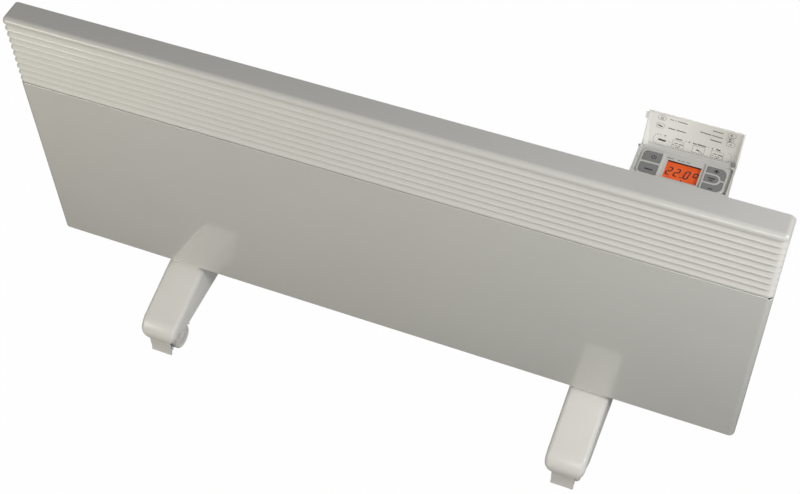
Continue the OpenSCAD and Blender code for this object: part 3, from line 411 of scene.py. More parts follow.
comb_count = 11
comb_t = 2 * mm
comb_inset, comb_reach = in_mm(0.8, 4.2)
comb_back, comb_front = -core_y - comb_inset, -core_y - comb_reach
bm = bmesh.new()
for number in range(comb_count):
    middle_x = (number / (comb_count - 1) - 0.5) * (2 * core_x - comb_t)
    add_block(bm, (middle_x - comb_t / 2, comb_front, band_low.z),
              (middle_x + comb_t / 2, comb_back, band_high.z - sheet_t))
for side in (-1, 1):
    add_block(bm, (side * (core_x + comb_inset), case_high.y - comb_t, band_low.z),
              (side * (core_x + corner_r - blade_t), case_high.y, band_high.z - corner_r))
make_piece("band_combs", bm, band_paint, stands_for=["top_grille"], edge=0.2 * mm)


# Back of the casing: a galvanised steel plate with two pressed swages and slots for
# wall screws, over the slotted plate of the air inlet. Both are left as zinc.
def galvanised_steel(name, shade):
    """Hot-dip zinc: pale spangles of slightly different shade and shine."""
    zinc = Finish(name, Metallic=0.85)
    spangle = zinc.node("ShaderNodeTexVoronoi", None, {"Vector": zinc.place, "Scale": 95.0},
                        output="Color")
    grey = zinc.node("ShaderNodeSeparateColor", None, {"Color": spangle})
    cloud = zinc.noise(30.0, 4.0)
    colour = zinc.ramp(grey * 0.6 + cloud * 0.4, dimmed(shade, 0.86), dimmed(shade, 1.08), 0.0, 1.0)
    return zinc.feed(Base_Color=colour, Roughness=grey * 0.14 + cloud * 0.1 + 0.32)


def dress(nodes, finish):
    """Gives CAD nodes a finish."""
    for name in nodes:
        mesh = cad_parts[name].data
        mesh.materials.clear()
        mesh.materials.append(finish.material)


zinc_coat = galvanised_steel("zinc_coat", (0.62, 0.63, 0.64))
dress(["back_panel", "inlet_grille", "heat_shield", "element_brackets"], zinc_coat)


# Screws: pan-head steel screws with a cross recess, round the back panel, in the
# control unit and up through the feet.
flat_angle = math.radians(0.4)


def smoothed_copy(name, finish, body="heater", edge=0.0):
    """A merged copy of a CAD node, smooth on its round faces, in the node's place."""
    bm = bmesh.new()
    bm.from_mesh(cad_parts[name].data)
    bmesh.ops.remove_doubles(bm, verts=bm.verts, dist=2 * tiny)
    bmesh.ops.dissolve_limit(bm, angle_limit=flat_angle, verts=bm.verts, edges=bm.edges)
    return make_piece(name + "_finished", bm, finish, body, [name], edge)


def turned_steel(name, shade, roughness):
    """Plated steel with fine marks and a few duller patches."""
    steel = Finish(name, Metallic=1.0)
    marks, dull = steel.noise(900.0, 3.0), steel.noise(160.0, 2.0)
    colour = steel.ramp(dull, dimmed(shade, 0.85), shade, 0.35, 0.65)
    return steel.feed(Base_Color=colour, Roughness=marks * 0.12 + dull * 0.1 + roughness)


screw_steel = turned_steel("screw_steel", (0.66, 0.67, 0.68), 0.2)
for name in ("panel_screws", "control_screws", "foot_screws"):
    smoothed_copy(name, screw_steel)


# Inside the casing: a cast aluminium finned element on a sheathed rod, held in
# ceramic bushes, with its cut-out, air sensor, terminal block and leads.
def dull_finish(name, shade, roughness, grain=700.0, rise=0.00004, metallic=0.0):
    """A plain finish with a fine grain and a slight clouding of its colour."""
    plain = Finish(name, Metallic=metallic)
    speck, cloud = plain.noise(grain, 3.0), plain.noise(grain / 30, 2.0)
    return plain.feed(Base_Color=plain.ramp(cloud, dimmed(shade, 0.92), shade),
                      Roughness=speck * 0.1 + roughness, Normal=plain.bump(speck, 0.3, rise))


dress(["heating_element"], dull_finish("cast_fins", (0.5, 0.51, 0.52), 0.45, 400.0, 0.00015, 0.9))
dress(["element_bushes"], dull_finish("ceramic", (0.72, 0.66, 0.56), 0.6))
dress(["air_sensor", "terminal_block"], dull_finish("block_plastic", (0.8, 0.78, 0.72), 0.5))
dress(["overheat_cutout", "tact_switches", "power_relay"],
      dull_finish("black_plastic", (0.03, 0.03, 0.032), 0.45))
smoothed_copy("element_rod", turned_steel("rod_steel", (0.3, 0.29, 0.28), 0.35))
smoothed_copy("wiring_loom", dull_finish("wire_cover", (0.36, 0.05, 0.02), 0.4))
dress(["control_board"], dull_finish("board_green", (0.02, 0.12, 0.05), 0.3))


# Control housing: a moulded box of off-white plastic behind the casing, with a raised
# rim round the keys, ears for the lid's pin and a gland for the cord under it.
def moulded_plastic(name, shade, roughness=0.42, rise=0.00003):
    """Injection-moulded plastic with a fine eroded grain."""
    plastic = Finish(name, Specular_IOR_Level=0.45)
    grain, cloud = plastic.noise(1500.0, 2.0), plastic.noise(9.0, 2.0)
    return plastic.feed(Base_Color=plastic.ramp(cloud, dimmed(shade, 0.97), shade),
                        Roughness=grain * 0.08 + roughness, Normal=plastic.bump(grain, 0.25, rise))


def across(x):
    """The plane of a side view at x: u runs back along Y and v up."""
    return Matrix(((0, 0, 1, x), (1, 0, 0, 0), (0, 1, 0, 0), (0, 0, 0, 1)))


def raise_faces(bm, faces, shift):
    """Extrudes flat faces by a shift into a closed block."""
    made = bmesh.ops.extrude_face_region(bm, geom=faces)["geom"]
    bmesh.ops.translate(bm, verts=only(bmesh.types.BMVert, made), vec=shift)


def add_slab(bm, corners, place, rise, steps=6):
    """A block with this outline, raised from the plane that place gives."""
    outline = flat_outline(bm, corners, place, steps)
    raise_faces(bm, outline, place.to_3x3() @ Vector((0, 0, rise)))


def cut_across(bm, spot, normal, **options):
    """Cuts all faces where they cross a plane."""
    bmesh.ops.bisect_plane(bm, geom=[*bm.verts, *bm.edges, *bm.faces], plane_co=spot,
                           plane_no=normal, **options)


def cut_notch(bm, low, high):
    """Takes a box-shaped notch out of the top of a wall and closes the faces that it leaves."""
    sides = ((0, low), (0, high), (2, low))
    for axis, spot in sides:
        cut_across(bm, spot, (axis == 0, 0, axis == 2), dist=tiny)
    inside = [face for face in bm.faces
              if all(a < c < b for a, c, b in zip(low, face.calc_center_median(), high))]
    bmesh.ops.delete(bm, geom=inside, context="FACES")
    bare = dict.fromkeys(vert for edge in bm.edges if edge.is_boundary for vert in edge.verts)
    for axis, spot in sides:
        rim = [vert for vert in bare if abs(vert.co[axis] - spot[axis]) < tiny]
        bmesh.ops.contextual_create(bm, geom=rim)


case_plastic = moulded_plastic("case_plastic", (0.76, 0.75, 0.715))
unit_low, unit_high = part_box("control_housing")
pin_low, pin_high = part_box("lid_pin")
pin_y = (pin_low.y + pin_high.y) / 2
pin_z = (pin_low.z + pin_high.z) / 2
rim_z = band_high.z
unit_wall = 2 * mm
unit_depth = 48 * mm
unit_front = case_high.y
unit_back = unit_front + unit_depth
unit_foot = 18 * mm
wall_slope = 0.41
knee_z = rim_z - (unit_depth - unit_foot) / wall_slope
ear_r = 2.6 * mm
ear_w = 4 * mm
ear_sink = 1.8 * mm
fit_gap = 0.3 * mm
housing_r = 4 * mm
notch_reach, notch_over = in_mm(8, 1)
ledge_fall = 4 * mm
# A corner radius of this share of half a width rounds the whole end
full_round = 0.998
# A face whose normal has this share along an axis faces that way
facing = 0.9
fascia_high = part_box("control_fascia")[1]
fascia_t = 2 * mm
fascia_seat = fascia_high.z - fascia_t


def wall_at(z):
    """How far back the sloping rear wall reaches at a height."""
    return unit_back - (rim_z - z) * wall_slope


def side_edges(bm):
    """The edges round the left and right faces."""
    return [edge for edge in bm.edges
            if any(abs(face.normal.x) > facing for face in edge.link_faces)]


def round_edges(bm, edges, radius, steps):
    bmesh.ops.bevel(bm, geom=edges, offset=radius, segments=steps, profile=0.5, affect="EDGES",
                    material=-1)


bm = bmesh.new()
add_slab(bm, [
    (unit_front, unit_low.z, 0), (unit_front + unit_foot, unit_low.z, 0),
    (unit_front + unit_foot, knee_z, housing_r), (unit_back, rim_z, 0), (unit_front, rim_z, 0)],
    across(unit_low.x), unit_high.x - unit_low.x)
bmesh.ops.recalc_face_normals(bm, faces=bm.faces)
rear_corners = [edge for edge in side_edges(bm)
                if min(vert.co.y for vert in edge.verts) > unit_front + mm]
round_edges(bm, rear_corners, housing_r, steps=6)
mouth = [face for face in bm.faces if face.normal.z > facing]
bmesh.ops.inset_region(bm, faces=mouth, thickness=unit_wall, use_even_offset=True)
hollow_back = unit_front + unit_foot - unit_wall
for depth_z in (fascia_seat - ledge_fall, knee_z, unit_low.z + unit_wall):
    made = bmesh.ops.extrude_face_region(bm, geom=mouth)["geom"]
    bmesh.ops.delete(bm, geom=mouth, context="FACES")
    mouth = only(bmesh.types.BMFace, made)
    for vert in only(bmesh.types.BMVert, made):
        vert.co.z = depth_z
        if depth_z <= knee_z:
            vert.co.y = min(vert.co.y, hollow_back)
notch_inset = ear_w + fit_gap
cut_notch(bm, Vector((unit_low.x + notch_inset, unit_back - notch_reach, fascia_seat - fit_gap)),
          Vector((unit_high.x - notch_inset, unit_back + notch_over, rim_z + notch_over)))
make_piece("control_case", bm, case_plastic, stands_for=["control_housing"], edge=0.35 * mm)
bm = bmesh.new()
ear_low, ear_high, ear_end = pin_z - ear_r, pin_z + ear_r, pin_y + ear_r
for low_x in (unit_low.x, unit_high.x - ear_w):
    add_slab(bm, [
        (wall_at(ear_low) - ear_sink, ear_low, 0), (ear_end, ear_low, ear_r * full_round),
        (ear_end, ear_high, ear_r * full_round), (wall_at(ear_high) - ear_sink, ear_high, 0)],
        across(low_x), ear_w)
make_piece("lid_ears", bm, case_plastic, stands_for=["control_housing"], edge=0.3 * mm)
smoothed_copy("cord_gland", moulded_plastic("gland_plastic", (0.55, 0.55, 0.54)), edge=0.3 * mm)
smoothed_copy("lid_pin", turned_steel("pin_steel", (0.2, 0.2, 0.21), 0.25), edge=0.1 * mm)

# Fascia: a grey moulded plate sunk below the rim that runs back to the hinge, with a
# raised pad round each group of keys, a window over the display and small printed marks.
fascia_plastic = moulded_plastic("fascia_plastic", (0.74, 0.73, 0.695))
key_gap = 0.4 * mm
mid_y = 22.6 * mm
key_x, key_w, key_h, key_r, key_space = in_mm(8.5, 22.3, 16.8, 5, 3.2)
lcd_x, lcd_y, lcd_w, lcd_d = in_mm(38.8, 6.6, 42, 29)
group_x, group_w, group_h, group_r = in_mm(87, 24, 38, 8.5)
ok_w, ok_h, rib_w = in_mm(17.2, 12.4, 2.6)
small_r, ok_r, step_r, spare_edge = in_mm(1.5, 0.6, 0.8, 0.1)
front_r, rear_r, strip_r, window_r = in_mm(0.5, 1, 0.4, 0.4)
left_pad_r, right_pad_r = in_mm(7, 10)
strip_w = 2.4 * mm


def fascia_at(height):
    """The fascia's plane at a height: u from the unit's left end, v from the casing's back."""
    return Matrix.Translation((unit_low.x, unit_front, height))


def key_corners(which, grown=0.0):
    """Corners of a key's outline on the fascia, grown for the hole round it."""
    left, right = key_x - grown, key_x + key_w + grown
    group_left, group_right = group_x - grown, group_x + group_w + grown
    if which == "power":
        low = mid_y + key_space / 2 - grown
        top = low + key_h + 2 * grown
        return [(left, low, small_r), (right, low, small_r), (right, top, small_r),
                (left, top, key_r + grown)]
    if which == "ok":
        tip = group_x + ok_w + grown
        half = ok_h / 2 + grown
        return [(group_left, mid_y - half, ok_r), (tip, mid_y - half, half * full_round),
                (tip, mid_y + half, half * full_round), (group_left, mid_y + half, ok_r)]
    if which == "plus":
        ok_top = mid_y + ok_h / 2 + rib_w - grown
        ok_edge = group_x + ok_w + rib_w - grown
        step_low = mid_y + rib_w / 2 - grown
        step_top = mid_y + group_h / 2 + grown
        return [(group_left, ok_top, step_r), (ok_edge, ok_top, ok_top - step_low - spare_edge),
                (ok_edge, step_low, 0), (group_right, step_low, step_r),
                (group_right, step_top, group_r + grown), (group_left, step_top, step_r)]
    partner = {"mode": "power", "minus": "plus"}[which]
    return [(u, 2 * mid_y - v, radius) for u, v, radius in reversed(key_corners(partner, grown))]


def pierced_plate(bm, rim, holes, place, rise):
    """A flat plate with holes, filled between its outlines and given its thickness."""
    upward = place.to_3x3() @ Vector((0, 0, 1))
    drawn = [face for corners in (rim, *holes) for face in flat_outline(bm, corners, place)]
    edges = [edge for face in drawn for edge in face.edges]
    bmesh.ops.delete(bm, geom=drawn, context="FACES_ONLY")
    made = bmesh.ops.triangle_fill(bm, use_beauty=True, edges=edges, normal=upward)["geom"]
    raise_faces(bm, only(bmesh.types.BMFace, made), upward * rise)


def box_corners(low_u, low_v, high_u, high_v, radius):
    return [(low_u, low_v, radius), (high_u, low_v, radius), (high_u, high_v, radius),
            (low_u, high_v, radius)]


inset = unit_wall + fit_gap
groove = unit_wall + 0.9 * mm
strip_end = ear_w + 2 * fit_gap
strip_back = wall_at(fascia_seat) - unit_front
strip_front = strip_back - strip_w
unit_w = unit_high.x - unit_low.x
key_names = ("power", "mode", "plus", "ok", "minus")
key_groups = ((key_names[:2], left_pad_r, small_r), (key_names[2:], small_r, right_pad_r))
window = box_corners(lcd_x, lcd_y, lcd_x + lcd_w, lcd_y + lcd_d, window_r)
fascia_plane = fascia_at(fascia_high.z)
holes = [key_corners(which, key_gap) for which in key_names]
fascia_rim = [
    (inset, inset, front_r), (unit_w - groove, inset, front_r),
    (unit_w - groove, strip_front, rear_r), (unit_w - strip_end, strip_front, 0),
    (unit_w - strip_end, strip_back, strip_r), (strip_end, strip_back, strip_r),
    (strip_end, strip_front, 0), (inset, strip_front, rear_r)]
bm = bmesh.new()
pierced_plate(bm, fascia_rim, [*holes, window], fascia_plane, -fascia_t)
make_piece("fascia_plate", bm, fascia_plastic, stands_for=["control_fascia"], edge=0.2 * mm)
pad_rise = 1.5 * mm
pad_edge = 2 * mm
bm = bmesh.new()
for members, left_r, right_r in key_groups:
    group_holes = [key_corners(which, key_gap) for which in members]
    us, vs, _ = zip(*(corner for hole in group_holes for corner in hole))
    low_x, high_x = min(us) - pad_edge, max(us) + pad_edge
    low_y, high_y = min(vs) - pad_edge, max(vs) + pad_edge
    pierced_plate(bm, [(low_x, low_y, left_r), (high_x, low_y, right_r), (high_x, high_y, right_r),
                       (low_x, high_y, left_r)], group_holes, fascia_plane, pad_rise)
make_piece("fascia_pads", bm, fascia_plastic, stands_for=["control_fascia"], edge=0.35 * mm)

# Display: a backlit orange panel in a pale frame under a clear window. It shows a plain
# number made of slanted bars, with a pointer under it and painted shade at the rear.
lens_low, lens_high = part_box("lcd_window")
lcd_low, lcd_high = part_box("lcd_module")
face_rise = 0.35 * mm
print_t = 0.08 * mm


def add_line(bm, start, end, width, place, rise=print_t, pointed=False):
    """A thin raised bar between two points of a plane, pointed like a display's segment."""
    start, end = Vector(start), Vector(end)
    along = (end - start).normalized()
    aside = Vector((-along.y, along.x)) * width / 2
    tip = along * width / 2 if pointed else Vector((0, 0))
    corners = [start + tip - aside, end - tip - aside, end, end - tip + aside, start + tip + aside,
               start]
    if not pointed:
        corners = [corners[spot] for spot in (0, 1, 3, 4)]
    add_slab(bm, [(*corner, 0) for corner in corners], place, rise)


marks = ((36.9, 44.6), (50.0, 53.4), (55.2, 58.6), (60.8, 65.3))
mark_v, mark_w, mark_rise = in_mm(39, 0.9, 0.02)
mark_ink = dull_finish("mark_ink", (0.09, 0.09, 0.09), 0.5)
bm = bmesh.new()
for start, end in marks:
    add_line(bm, (start * mm, mark_v), (end * mm, mark_v), mark_w, fascia_plane, mark_rise)
make_piece("fascia_marks", bm, mark_ink)
# A thin black strip on the rear wall of the window's opening is painted shade, for the shadow in
# that recess
shade_strip_t, shade_strip_sink = in_mm(0.3, 0.05)
bm = bmesh.new()
window_back = unit_front + lcd_y + lcd_d
add_block(bm, (unit_low.x + lcd_x, window_back - shade_strip_t, lens_high.z),
          (unit_low.x + lcd_x + lcd_w, window_back, fascia_high.z - shade_strip_sink))
make_piece("window_shade_strip", bm, dull_finish("painted_shade_black", (0.02, 0.012, 0.01), 0.6))

clear_plastic = Finish("clear_plastic", Base_Color=(0.3, 0.3, 0.3, 1), IOR=1.49)
smear = clear_plastic.noise(60.0, 3.0)
clear_plastic.feed(Roughness=smear * 0.08 + 0.05, Alpha=smear * 0.02 + 0.02)
bm = bmesh.new()
add_block(bm, lens_low, lens_high)
make_piece("display_window", bm, clear_plastic, stands_for=["lcd_window"], edge=0.15 * mm)

bm = bmesh.new()
face_z = lcd_high.z - 2 * print_t
add_block(bm, lcd_low, (lcd_high.x, lcd_high.y, face_z - face_rise))
make_piece("display_frame", bm, dull_finish("display_frame", (0.6, 0.6, 0.58), 0.5),
           stands_for=["lcd_module"], edge=0.2 * mm)
backlight = Finish("backlight", Emission_Strength=0.44, Specular_IOR_Level=0.2)
spread, dots = backlight.noise(45.0, 1.0), backlight.noise(2500.0, 1.0)
orange = backlight.ramp(spread * 0.85 + dots * 0.15, (0.66, 0.075, 0.008), (0.8, 0.115, 0.018))
backlight.feed(Base_Color=orange, Emission_Color=orange, Roughness=dots * 0.1 + 0.4)
frame_w, frame_front_w = in_mm(0.5, 1)
bm = bmesh.new()
add_block(bm, (lcd_low.x + frame_w, lcd_low.y + frame_front_w, face_z - face_rise),
          (lcd_high.x - frame_w, lcd_high.y - frame_w, face_z))
make_piece("display_face", bm, backlight, stands_for=["lcd_module"], edge=0.1 * mm)

segment_ends = {"a": (0, 1, 1, 1), "b": (1, 1, 1, 0.5), "c": (1, 0.5, 1, 0), "d": (0, 0, 1, 0),
                "e": (0, 0, 0, 0.5), "f": (0, 0.5, 0, 1), "g": (0, 0.5, 1, 0.5)}
digit_w, digit_h, digit_bar = in_mm(4.9, 12.3, 1.8)
digit_lean = 0.2
shown = ((1.9, 8.6, 1, "abged"), (11.5, 8.6, 1, "abged"), (23.6, 8.6, 1, "abcdef"),
         (34.8, 14.6, 0.52, "abcdef"))
lcd_ink = dull_finish("lcd_ink", (0.02, 0.006, 0.003), 0.6)
lcd_plane = Matrix.Translation((unit_low.x + lcd_x, unit_front + lcd_y, face_z))
bm = bmesh.new()
for left, low, tall, segments in shown:
    height = tall * digit_h
    for segment in segments:
        u0, v0, u1, v1 = segment_ends[segment]
        ends = [(left * mm + u * digit_w + v * height * digit_lean, low * mm + v * height)
                for u, v in ((u0, v0), (u1, v1))]
        add_line(bm, *ends, digit_bar, lcd_plane, pointed=True)
point_w = 2 * mm
add_line(bm, in_mm(19.9, 8.6), in_mm(21.9, 8.6), point_w, lcd_plane)
pointer = ((20.8, 1.9), (25.0, 1.9), (22.9, 5.6))
add_slab(bm, [in_mm(*corner, 0) for corner in pointer], lcd_plane, print_t)
make_piece("display_digits", bm, lcd_ink, stands_for=["lcd_module"])

# Keys: five caps of darker grey plastic with softly rounded tops, each with its flange
# under the fascia and its stem. The printed signs are a plus, a minus and plain bars.
key_plastic = moulded_plastic("key_plastic", (0.27, 0.27, 0.262), 0.38)
sign_ink = dull_finish("sign_ink", (0.02, 0.02, 0.021), 0.5)
flange_grow, flange_t, flange_gap, key_stem_r, sign_rise = in_mm(0.8, 1.2, 0.3, 2.2, 0.03)
arc_steps = 16
power_turns = (130, 410)


def add_arc(bm, centre, radius, width, start, end, place, rise):
    """A thin raised arc of a ring, from one angle to another in degrees."""
    ring = []
    for reach, angles in ((radius + width / 2, (start, end)), (radius - width / 2, (end, start))):
        for step in range(arc_steps + 1):
            turn = math.radians(angles[0] + (angles[1] - angles[0]) * step / arc_steps)
            ring.append((centre[0] + reach * math.cos(turn), centre[1] + reach * math.sin(turn), 0))
    add_slab(bm, ring, place, rise)


keys = {
    "power": ((19.65, 32.6), ((21.8, 35.8, 21.8, 32.4, 1.3),)),
    "mode": ((19.65, 12.6), ((15.9, 11.3, 26.2, 11.0, 2.3),)),
    "plus": ((96, 35.6), ((95.5, 36.2, 101.9, 36.2, 1.7), (98.7, 33.2, 98.7, 39.2, 1.7))),
    "ok": ((95, 22.6), ((91.4, 23.5, 100.2, 23.5, 1.9), (93.0, 20.1, 98.4, 20.1, 1.6))),
    "minus": ((96, 9.6), ((95.6, 6.8, 101.0, 6.8, 1.5),))}
cap_low = fascia_high.z - fascia_t - flange_gap
stem_top = cap_low - flange_t
for which, (stem, signs) in keys.items():
    node, body = "button_" + which, "key_" + which
    key_low, key_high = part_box(node)
    bm = bmesh.new()
    add_slab(bm, key_corners(which), fascia_at(cap_low), key_high.z - cap_low)
    make_piece(node + "_cap", bm, key_plastic, body, [node], edge=0.45 * mm)
    bm = bmesh.new()
    add_slab(bm, key_corners(which, flange_grow), fascia_at(stem_top), flange_t)
    stem_place = fascia_at((stem_top + key_low.z) / 2) @ Matrix.Translation(in_mm(*stem, 0))
    bmesh.ops.create_cone(bm, cap_ends=True, segments=32, radius1=key_stem_r, radius2=key_stem_r,
                          depth=stem_top - key_low.z, matrix=stem_place)
    make_piece(node + "_flange", bm, key_plastic, body, [node], edge=0.15 * mm)
    bm = bmesh.new()
    plane = fascia_at(key_high.z)
    for sign in signs:
        u0, v0, u1, v1, width = in_mm(*sign)
        add_line(bm, (u0, v0), (u1, v1), width, plane, sign_rise)
    if which == "power":
        add_arc(bm, in_mm(21.8, 32.4), *in_mm(2.7, 1.1), *power_turns, plane, sign_rise)
    make_piece(node + "_sign", bm, sign_ink, body)

# Lid: a shallow scooped moulding that stands open on its pin, with a finger tab and a
# printed guide inside it: outlines, lines, arrows and plain bars in place of words.
lid_plastic = moulded_plastic("lid_plastic", (0.78, 0.77, 0.735), 0.36)
smoothed_copy("control_lid", lid_plastic, "lid", edge=0.3 * mm)
lid_t = 1.6 * mm
lid_open = math.radians(117)
unit_middle = (unit_low.x + unit_high.x) / 2
lid_seat = rim_z + fit_gap - pin_z
lid_len = 44 * mm
cove_r = 4 * mm
rear_rise, front_rise = in_mm(6, 1.5)
cove_y, cove_z = -ear_r + lid_t + cove_r, lid_seat + rear_rise - cove_r
front_z = lid_seat + front_rise
# The scoop's floor falls from the cove at the hinge to the lid's free edge
floor_fall = (math.asin(cove_r / math.hypot(lid_len - cove_y, cove_z - front_z))
              - math.atan2(front_z - cove_z, lid_len - cove_y))
floor_rear_y = -ear_r + lid_t
floor_rear_z = front_z + (lid_len - floor_rear_y) * math.tan(floor_fall)
lid_place = (Matrix.Translation((unit_middle, pin_y, pin_z)) @ Matrix.Rotation(-lid_open, 4, "X")
             @ Matrix.Scale(-1, 4, (0, 1, 0)))
# The print's plane: s from the lid's left end and t from its hinge, facing out of the scoop
scoop_plane = (lid_place @ Matrix.Translation((-unit_w / 2, floor_rear_y, floor_rear_z))
               @ Matrix.Rotation(-floor_fall, 4, "X") @ Matrix.Scale(-1, 4, (0, 0, 1)))
print_lines = (
    (27.3, 40.4, 32.2, 40.3, 0.8), (34.0, 39.2, 35.4, 41.4, 0.5), (37.0, 40.3, 49.0, 39.8, 0.9),
    (13.9, 29.3, 20.1, 28.4, 1.5), (27.2, 28.6, 35.8, 28.3, 1.1), (37.8, 28.6, 49.3, 28.2, 1.1),
    (18.2, 10.7, 27.9, 10.3, 2.2), (31.8, 10.5, 33.2, 10.5, 0.7), (38.8, 17.2, 47.4, 17.1, 1.3),
    (38.2, 11.0, 43.2, 11.0, 0.8), (44.6, 10.8, 50.0, 10.6, 1.0), (36.6, 8.6, 38.6, 8.6, 0.9),
    (40.4, 8.3, 42.4, 8.3, 0.9), (44.2, 8.4, 46.6, 8.0, 0.9), (43.0, 6.4, 44.3, 6.4, 1.2),
    (60.7, 17.3, 65.6, 16.9, 1.3), (66.6, 17.4, 77.2, 16.7, 1.4), (89.7, 17.3, 95.2, 16.7, 1.5),
    (66.4, 9.6, 70.2, 9.3, 1.5), (70.8, 8.4, 72.8, 8.2, 0.9), (73.3, 6.4, 74.4, 6.4, 0.9),
    (87.4, 10.8, 92.0, 10.8, 0.9), (93.6, 10.6, 99.0, 10.2, 1.1), (86.0, 8.3, 88.0, 8.3, 0.9),
    (90.2, 7.8, 91.5, 7.8, 0.9), (93.2, 8.0, 95.4, 7.8, 0.9), (92.0, 6.0, 93.3, 6.0, 1.2),
    (80.6, 40.1, 93.6, 39.9, 0.9), (65.9, 34.6, 79.6, 33.9, 1.0), (80.6, 34.0, 94.0, 33.6, 0.9),
    (79.8, 27.9, 94.0, 27.5, 1.1), (101.9, 40.0, 105.1, 40.0, 0.7), (103.5, 38.4, 103.5, 41.6, 0.7),
    (101.2, 34.9, 105.0, 34.7, 1.0), (101.6, 32.8, 104.2, 32.6, 1.2),
    (103.4, 28.0, 106.6, 28.0, 0.8), (17.6, 39.8, 17.6, 41.6, 0.6))
print_frames = (
    (12.6, 36.6, 22.4, 43.2, 3.2), (12.0, 25.9, 22.2, 32.6, 2.6), (35.8, 5.4, 50.6, 14.8, 0.8),
    (61.4, 5.4, 76.5, 14.8, 0.8), (84.6, 5.2, 99.8, 14.8, 0.8), (99.0, 37.0, 109.2, 42.6, 2.7),
    (98.6, 31.4, 107.6, 36.6, 2.5), (99.8, 25.2, 110.2, 31.0, 2.8))
print_arrows = ((25.1, 17.5), (55.5, 17.1), (84.3, 16.9))
loop_left, loop_right, loop_mid, loop_r = 18.8, 103.0, 10.4, 6.8
loop_top = (15.9, 19.2, 51.4, 79.9)
frame_line = 0.3
arrow_half, arrow_len = 1.2, 2.2
dot, dot_line, dot_pitch = 1.3, 0.6, 3.24
dot_turn, dot_turn_pitch = 11, 27
ink_rise, loop_lift = in_mm(0.04, 0.1)
bm = bmesh.new()
for line in print_lines:
    u0, v0, u1, v1, width = in_mm(*line)
    add_line(bm, (u0, v0), (u1, v1), width, scoop_plane, ink_rise)
for low_u, low_v, high_u, high_v, radius in print_frames:
    outer, inner = (box_corners(*in_mm(low_u + g, low_v + g, high_u - g, high_v - g, radius - g))
                    for g in (0, frame_line))
    pierced_plate(bm, outer, [inner], scoop_plane, ink_rise)
for u, v in print_arrows:
    head = ((u, v - arrow_half), (u + arrow_len, v), (u, v + arrow_half))
    add_slab(bm, [in_mm(*corner, 0) for corner in head], scoop_plane, ink_rise)
add_arc(bm, in_mm(17.6, 39.5), *in_mm(1.7, 0.6), *power_turns, scoop_plane, ink_rise)
dot_count = int((loop_right - loop_left) / dot_pitch) + 1
loop_low = [loop_left + number * dot_pitch for number in range(dot_count)]
# The loop's lower dots lie where the floor starts to turn up into the cove
loop_plane = scoop_plane @ Matrix.Translation((0, 0, loop_lift))
for v, row in ((loop_mid - loop_r, loop_low), (loop_mid + loop_r, loop_top)):
    for u in row:
        add_line(bm, in_mm(u, v), in_mm(u + dot, v), dot_line * mm, loop_plane, ink_rise)
for centre, start in ((loop_left, 104), (loop_right, -76)):
    for number in range(6):
        turn = start + number * dot_turn_pitch
        add_arc(bm, in_mm(centre, loop_mid), loop_r * mm, dot_line * mm, turn, turn + dot_turn,
                loop_plane, ink_rise)
make_piece("lid_print", bm, sign_ink, "lid")

# Feet: two hollow mouldings of glossy off-white plastic, open underneath, with a round
# nose at each end. Inside are the pad for the casing, ribs and a boss for each stem.
foot_plastic = moulded_plastic("foot_plastic", (0.83, 0.82, 0.785), 0.26, 0.000015)
foot_reach = 126 * mm
foot_half = 30 * mm
foot_wall = 3 * mm
foot_edge_r = 8 * mm
foot_peak, foot_peak_r = 106.2 * mm, 7 * mm
foot_slope = 0.2814
shoulder_z = foot_peak - foot_slope * foot_reach
nose_tangent = 22.7 * mm
nose_tuck = (9 * mm, 4.5 * mm)
nose_tuck_h = 14 * mm
nose_drop = 4.2 * mm
nose_lobe, nose_lobe_half = 1.4 * mm, 9 * mm
nose_tuck_len = 34 * mm
nose_drop_len, nose_drop_lead = 0.8 * nose_tuck_len, 1.1
nose_cuts = 5
tuck_round = 0.85
stem_y = 103 * mm
pad_half_x, pad_half_y, pad_h, pad_seat, pad_r = in_mm(22, 13, 20, 12, 1)
foot_screw_x, screw_well_r, screw_hole_r = in_mm(14, 5.2, 2.7)
rib_half, rib_t, rib_cut = in_mm(25, 2, 5)
rib_shares = (0.3, 0.6)
boss_lift, rib_lift, spine_lift = in_mm(0.6, 6, 10)
boss_inner, boss_outer = in_mm(5.62, 8.2)
boss_steps = 40


def add_boss(bm, centre, low, high):
    """The upright tube that takes a castor's stem."""
    corners = [(boss_inner, low), (boss_outer, low), (boss_outer, high), (boss_inner, high)]
    verts = [bm.verts.new((centre[0] + r, centre[1], z)) for r, z in corners]
    edges = [bm.edges.new((verts[spot - 1], verts[spot])) for spot in range(4)]
    bmesh.ops.spin(bm, geom=verts + edges, cent=(*centre, 0), axis=(0, 0, 1), angle=2 * math.pi,
                   steps=boss_steps, use_merge=True)


def held(value):
    """A value held between 0 and 1."""
    return min(max(value, 0), 1)


def ceiling_at(y):
    """The height of the foot's inner face this far from its middle."""
    return foot_peak - foot_slope * y - foot_wall


